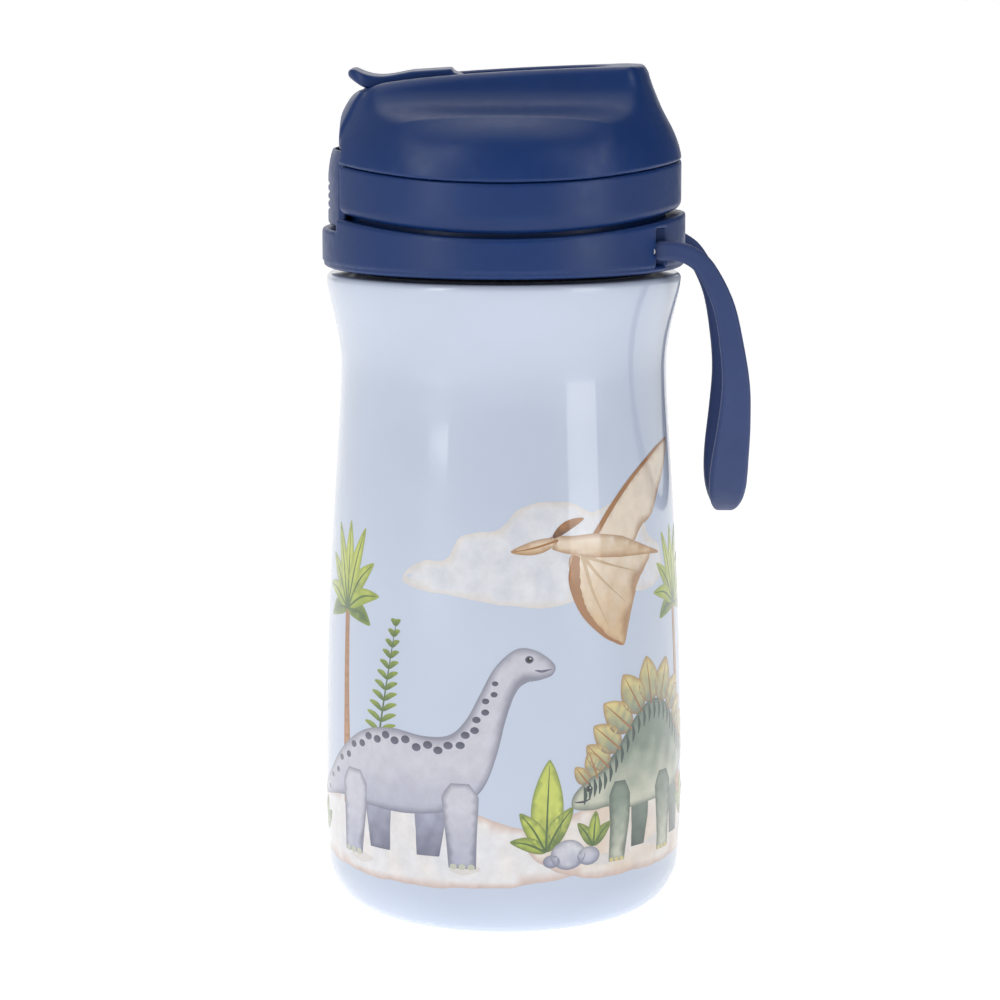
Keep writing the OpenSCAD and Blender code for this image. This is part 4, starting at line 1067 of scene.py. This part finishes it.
def draw_long_neck(sketch):
    """A plump four-legged animal with a raised neck and a spotted back."""
    draw_legs(sketch, ((-28.5, -28, 7.5), (-15.5, -16, 7)), 31, 18.2, 3, ramp(SLATE, LILAC, 17, 30, 3, 4))
    back = [(-58, 24.4), (-49, 30.6), (-41, 37.6), (-33, 42.6), (-25, 44.2), (-17, 43.2), (-11, 43.6),
            (-7.4, 47.4), (-4.6, 53), (-1.6, 58.6)]
    front = [(2.6, 62.2), (6.6, 61.8), (10.2, 59.2), (10.4, 57.2), (7.6, 56.2), (3.8, 56), (1.6, 52.8),
             (-0.2, 46.6), (-1.8, 39.6), (-4.6, 32.6), (-10.4, 28.4), (-20, 26.8), (-30, 27), (-40, 27.6),
             (-50, 25.8)]
    sketch.blob(back + front, 8, 4, ramp(LILAC, GREY, 25, 37, 6, 2, 0.16, SLATE), 1.4, 1.4)
    draw_legs(sketch, ((-36, -36.8, 8.6), (-9, -8.6, 7.8)), 34, 16, 5,
              ramp(LILAC, GREY, 15, 28, 3, 7, 0.2, SLATE), PALE)
    along = through(back, 6)
    out = left_of(np.gradient(along, axis=0))
    for k in range(3, len(along) - 3, 2):
        s, z = along[k] - out[k] * (1.5 + 0.9 * (k % 4 == 1))
        size = 0.55 + 0.5 * math.sin(math.pi * k / len(along))
        sketch.oval(s, z, size, 0.8 * size, 5, ramp(SLATE, DEEP, z - 1, z + 1, 2, k))
    sketch.line([(10, 57.9), (7.8, 57.4), (6.2, 57.8)], [0.12, 0.32, 0.12], 6, SLATE, 0.3)
    draw_eye(sketch, 5.2, 60, 0.9, SLATE)


def draw_plated(sketch):
    """A low four-legged animal with a row of plates along its back."""
    draw_legs(sketch, ((31.5, 31, 5.4), (45.4, 46, 5.8)), 30, 18.4, 3, ramp(FOREST, SAGE, 17, 30, 3, 4))
    back = [(14.6, 31.2), (18, 34.2), (21.6, 36), (26, 41), (31, 46.6), (36.4, 48.8), (42, 46.8),
            (46.6, 41.6), (51.4, 37.6), (57.6, 36.4)]
    under = [(52, 33), (47, 29.6), (41, 27.8), (33, 27.2), (27, 27), (22.4, 28.2), (18.6, 27.6), (14.4, 28.4)]
    along = through(back, 6)
    out = left_of(np.gradient(along, axis=0))
    for k in range(5, len(along) - 4, 4):
        reach = 3.2 + 6.4 * math.sin(math.pi * k / len(along)) ** 1.5
        foot, tip = along[k] - out[k] * 0.8, along[k] + out[k] * reach
        paint = ramp(SAGE, CREAM, foot[1], tip[1], 2, k, 0.3, BROWN)
        sketch.leaf(foot, tip, 0.72 * reach, 0.0, 3, paint, BROWN)
    sketch.blob(back + under, 8, 4, ramp(PALE, SAGE, 28, 40, 5, 8, 0.22, FOREST), 1.2, 1.2)
    draw_legs(sketch, ((25.6, 25, 5.6), (40, 40.4, 6.6)), 33, 16, 5,
              ramp(PALE, SAGE, 15, 29, 3, 6, 0.2, FOREST), CREAM)
    for k in range(4, len(along) - 6, 2):
        s, z = along[k]
        sketch.line([(s, z - 0.6), (s + 0.3, z - 2.4), (s, z - 4.4)], [0.3, 0.9, 0.2], 5, FOREST, 0.4)
    sketch.line([(14.6, 29.6), (16.6, 29.5), (18.4, 30.1)], [0.12, 0.32, 0.12], 6, DEEP, 0.3)
    draw_eye(sketch, 18, 32.2, 0.8, FOREST)


def draw_glider(sketch):
    """A winged reptile that glides to the left, seen from the side."""
    skin = ramp(TAN, SAND, 66, 84, 4, 3, 0.3, BROWN)
    sketch.blob([(19, 83), (24, 90), (31, 96), (40, 100.5), (49, 102.5), (45.6, 96.6), (41.6, 92.6),
                 (38, 87.6), (33.4, 86), (29.4, 81.6)], 6, 3, skin, 1.3, 1.2)
    sketch.blob([(16, 82), (14.4, 76), (16.4, 70), (21, 64.6), (27, 61.4), (27.4, 66.6), (30, 70.4),
                 (30.4, 75), (34.6, 77.4), (35.4, 80.6)], 6, 4, skin, 1.3, 1.2)
    for end in ((23, 66), (27.6, 70.6), (31.4, 76.4)):
        sketch.line([(17, 81), ((17 + end[0]) / 2 - 0.8, (81 + end[1]) / 2), end], [0.9, 0.5, 0.12], 5, TAN)
    sketch.line([(15.6, 81), (14.4, 75.6), (17, 69), (22, 64), (26.6, 61.6)], [1.5, 1.2, 1.1, 0.8, 0.3],
                5, BROWN)
    sketch.line([(20, 84.6), (25, 90.6), (32, 96.4), (41, 100.8), (48.6, 102.4)],
                [1.2, 1.1, 0.9, 0.7, 0.3], 5, BROWN)
    sketch.line([(40, 79.4), (34, 80.6), (27, 82), (20, 82.8), (14, 83.2), (10.6, 84)],
                [0.5, 2, 4.4, 5, 3.4, 3], 6, ramp(TAN, SAND, 80, 85, 3, 4, 0.3, BROWN), 0.8)
    sketch.leaf((11.6, 84.4), (1.4, 82.2), 2.6, 0.3, 7, ramp(TAN, SAND, 82, 85, 2, 3, 0.2, BROWN), BROWN)
    sketch.leaf((10.4, 85), (17.6, 88.6), 1.8, 0.5, 7, ramp(UMBER, BROWN, 85, 88, 2, 3))
    draw_eye(sketch, 10.2, 84.6, 0.55, BROWN)


def draw_palm(sketch, s, top, lean, seed, size=1.0):
    """A tree with a bent trunk and a fan of pointed leaves."""
    foot_z = 26
    bark = ramp(BARK, BROWN, foot_z, top, 4, seed, 0.4, BROWN)
    sketch.line([(s + lean, foot_z), (s + 0.4 * lean, (foot_z + top) / 2), (s, top)],
                [3.2 * size, 2 * size, 1.7 * size], 2, bark, 0.7)
    for k in range(13):
        z = foot_z + 2 + (top - foot_z - 4) * k / 12
        c = s + lean * (1 - k / 12) ** 1.3
        sketch.line([(c - 0.8, z), (c, z - 0.35), (c + 0.8, z + 0.1)], [0.2, 0.4, 0.15], 3, BROWN, 0.3)
    for k in range(9):
        angle = math.radians(-14 + 26 * k)
        reach = (13.5 + 4.5 * math.sin(angle) + 1.4 * (k % 2)) * size
        tip = (s + reach * math.cos(angle) * 0.72, top + reach * math.sin(angle))
        sketch.leaf((s, top - 0.5), tip, (3.7 - 0.4 * (k % 2)) * size, 1.2 * math.cos(angle), 3 + k % 2,
                    ramp(LEAFY if k % 2 else MOSS, LIME, top, top + 9, 3, seed + k, 0.3, LEAFY), MOSS)


def draw_fern(sketch, s, z0, z1, sway, seed):
    """A thin stem with small leaves on both sides."""
    sketch.line([(s, z0), (s + sway * 0.5, (z0 + z1) / 2), (s + sway, z1)], [0.45, 0.3, 0.12], 3, MOSS, 0.2)
    for t in np.linspace(0, 0.95, 11):
        c, z = s + sway * t, z0 + (z1 - z0) * t
        for side in (-1, 1):
            tip = (c + side * 4.4 * (1 - 0.75 * t), z + 1.9 - 0.6 * t)
            sketch.leaf((c, z), tip, 0.95, side * 0.3, 3, ramp(MOSS, LEAFY, z, z + 2, 2, seed))


def draw_bush(sketch, s, z, seed, leaves):
    """Broad leaves that fan out from one foot. Each leaf is its reach sideways, its height and its width."""
    for k, (ds, dz, w) in enumerate(leaves):
        sketch.leaf((s, z), (s + ds, z + dz), w, 0.08 * ds, 3 + k % 2,
                    ramp(LEAFY if k % 2 else MOSS, LIME, z - 2, z + 9, 2.5, seed + k, 0.4, MOSS), MOSS)


def draw_stones(sketch, s, z):
    """Three round stones."""
    for ds, dz, rs, rz in ((4.6, -0.6, 2.6, 2.0), (0.0, 0.0, 3.8, 3.2), (-3.6, -1.2, 1.8, 1.4)):
        paint = ramp(LILAC, PAPER, z - rz, z + rz, 3, 2, 0.25, SLATE)
        sketch.oval(s + ds, z + dz, rs, rz, 5, paint, 1.1, 1.1, 0.4)


def print_artwork():
    """One strip on the front, and the same strip mirrored on the back."""
    scenery, animals, plants = Artwork("print_scenery"), Artwork("print_animals"), Artwork("print_plants")
    for ds, flip, seed in ((0.0, 1, 3), (math.pi * PRINT_R, -1, 9)):
        draw_scenery(Sketch(scenery, ds, flip), seed)
        sketch = Sketch(animals, ds, flip)
        draw_long_neck(sketch)
        draw_plated(sketch)
        draw_glider(sketch)
        sketch = Sketch(plants, ds, flip)
        draw_palm(sketch, -40, 68, 1.4, seed)
        draw_palm(sketch, 47.6, 68, 1.5, seed + 5, 0.9)
        draw_fern(sketch, -28, 43, 67, 4.2, seed)
        for s, z, more, leaves in (
                (8.6, 19.5, 0, ((0.8, 19.5, 6.6), (-5.4, 8.4, 3.6), (5.8, 9.2, 3.8), (-7.4, 2.4, 2.8))),
                (19, 20, 2, ((-3.6, 5.2, 2.4), (0.6, 7.4, 2.6), (4.2, 4.8, 2.4))),
                (52.4, 21, 4, ((-5, 5.6, 2.8), (-0.6, 9, 3.4), (4.4, 6, 2.8))),
                (-53, 17.6, 6, ((-4.6, 5.4, 2.6), (0.5, 7.4, 3.0), (4.8, 4.6, 2.6)))):
            draw_bush(sketch, s, z, seed + more, leaves)
        draw_stones(sketch, 13.4, 18.6)
    for art in (scenery, animals, plants):
        art.finish()


# ---------------- make the pieces
def carve(name, field, step, material, body, slot, node, grow=0.5):
    """The piece that stands for a CAD node: its field, meshed in the room round the node."""
    low, high = ([c / MM for c in corner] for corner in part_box(node))
    piece = solid(name, field, [c - grow for c in low], [c + grow for c in high], step)
    dress(piece, material, body, slot, node)


make_body()
print_artwork()
for piece in (
        ("lid_dome_shell", dome_field, 0.5, navy_plastic, "lid", "lid_plastic", "lid_dome"),
        ("lid_band", base_field, 0.5, navy_plastic, "lid", "lid_plastic", "lid_base"),
        ("collar_ring", collar_field, 0.42, navy_plastic, "lid", "lid_plastic", "strap_collar"),
        ("latch_face", button_field, 0.3, navy_plastic, "latch", "lid_plastic", "latch_button"),
        ("thumb_flap", flap_field, 0.26, navy_plastic, "flap", "lid_plastic", "flap"),
        ("flap_seal", pad_field, 0.26, clear_silicone, "flap", "clear_silicone", "flap_pad"),
        ("spout_body", spout_field, 0.26, navy_plastic, "spout", "lid_plastic", "spout"),
        ("spout_tip", tip_field, 0.22, clear_silicone, "spout", "clear_silicone", "mouth_tip"),
        ("carry_strap", strap_field, 0.42, navy_silicone, "strap", "strap_silicone", "strap_loop")):
    carve(*piece)

for material, names in (
        (bare_steel, ("inner_liner", "liner_floor")), (disc_steel, ("base_disc",)),
        (pin_steel, ("strap_pins", "flap_pin", "latch_pin", "latch_spring")),
        (getter_metal, ("vacuum_getter",)), (clear_silicone, ("neck_gasket", "spout_seat", "air_valve")),
        (white_plastic, ("straw_connector",)), (straw_plastic, ("straw_tube",))):
    for name in names:
        coat(nodes[name], material)


# ---------------- stage, lights and camera
def sweep_floor():
    """A pale floor that curves up into a backdrop, wide in front and narrow behind."""
    turn_y, turn_r, top_z, angles = 0.9, 0.7, 3.5, np.linspace(0.1, math.pi / 2, 14)
    line = [(-3.0, 0.0), (turn_y, 0.0)]
    line += [(turn_y + turn_r * math.sin(a), turn_r - turn_r * math.cos(a)) for a in angles]
    line += [(turn_y + turn_r, top_z)]
    points = [(x if z > 0.01 else 3.5 * x / abs(x), y, z) for y, z in line for x in (-0.9, 0.5)]
    faces = [(2 * i, 2 * i + 1, 2 * i + 3, 2 * i + 2) for i in range(len(line) - 1)]
    mesh = bpy.data.meshes.new("studio_floor")
    mesh.from_pydata(points, [], faces)
    for p in mesh.polygons:
        p.use_smooth = True
    floor = bpy.data.objects.new("studio_floor", mesh)
    bpy.context.scene.collection.objects.link(floor)
    n = Nodes("paper_floor")
    n.set(Base_Color=n.blend(n.noise(3, 2), (0.86, 0.86, 0.87, 1), (0.9, 0.9, 0.9, 1)), Roughness=0.85,
          Emission_Color=(1, 1, 1, 1), Emission_Strength=0.56)
    mesh.materials.append(n.material)


sweep_floor()


def area_light(name, place, size, power):
    """A rectangular light that points at the middle of the bottle."""
    data = bpy.data.lights.new(name, "AREA")
    data.shape = "RECTANGLE"
    data.size, data.size_y = size
    data.energy = power
    obj = bpy.data.objects.new(name, data)
    obj.location = place
    obj.rotation_euler = (Vector((0, 0, 0.1)) - Vector(place)).to_track_quat("-Z", "Y").to_euler()
    bpy.context.scene.collection.objects.link(obj)


area_light("key_left", (-0.75, -0.75, 0.55), (0.30, 1.0), 3.4)
area_light("fill_right", (0.85, -0.6, 0.4), (0.45, 1.0), 3.3)
area_light("top_soft", (0.0, 0.1, 1.1), (1.1, 0.9), 3.2)

bpy.context.scene.view_settings.view_transform = "Standard"
# The world is white, and fades from the left to the right.
world = bpy.data.worlds.new("studio_white")
world.use_nodes = True
tree = world.node_tree
tree.nodes["Background"].inputs["Color"].default_value = (1, 1, 1, 1)
direction = tree.nodes.new("ShaderNodeTexCoord").outputs["Generated"]
split = tree.nodes.new("ShaderNodeSeparateXYZ")
fade = tree.nodes.new("ShaderNodeMapRange")
for key, value in (("From Min", -1.0), ("From Max", 1.0), ("To Min", 0.4), ("To Max", 0.05)):
    fade.inputs[key].default_value = value
tree.links.new(direction, split.inputs[0])
tree.links.new(split.outputs["X"], fade.inputs["Value"])
tree.links.new(fade.outputs["Result"], tree.nodes["Background"].inputs["Strength"])
bpy.context.scene.world = world

camera_data = bpy.data.cameras.new("camera")
camera_data.lens, camera_data.sensor_width = 132.3, 36.0
camera = bpy.data.objects.new("camera", camera_data)
camera.location = (-0.0008, -0.7785, 0.1999)
camera.rotation_euler = (math.radians(81.8), 0, 0)
bpy.context.scene.collection.objects.link(camera)
bpy.context.scene.camera = camera

bpy.context.view_layer.update()
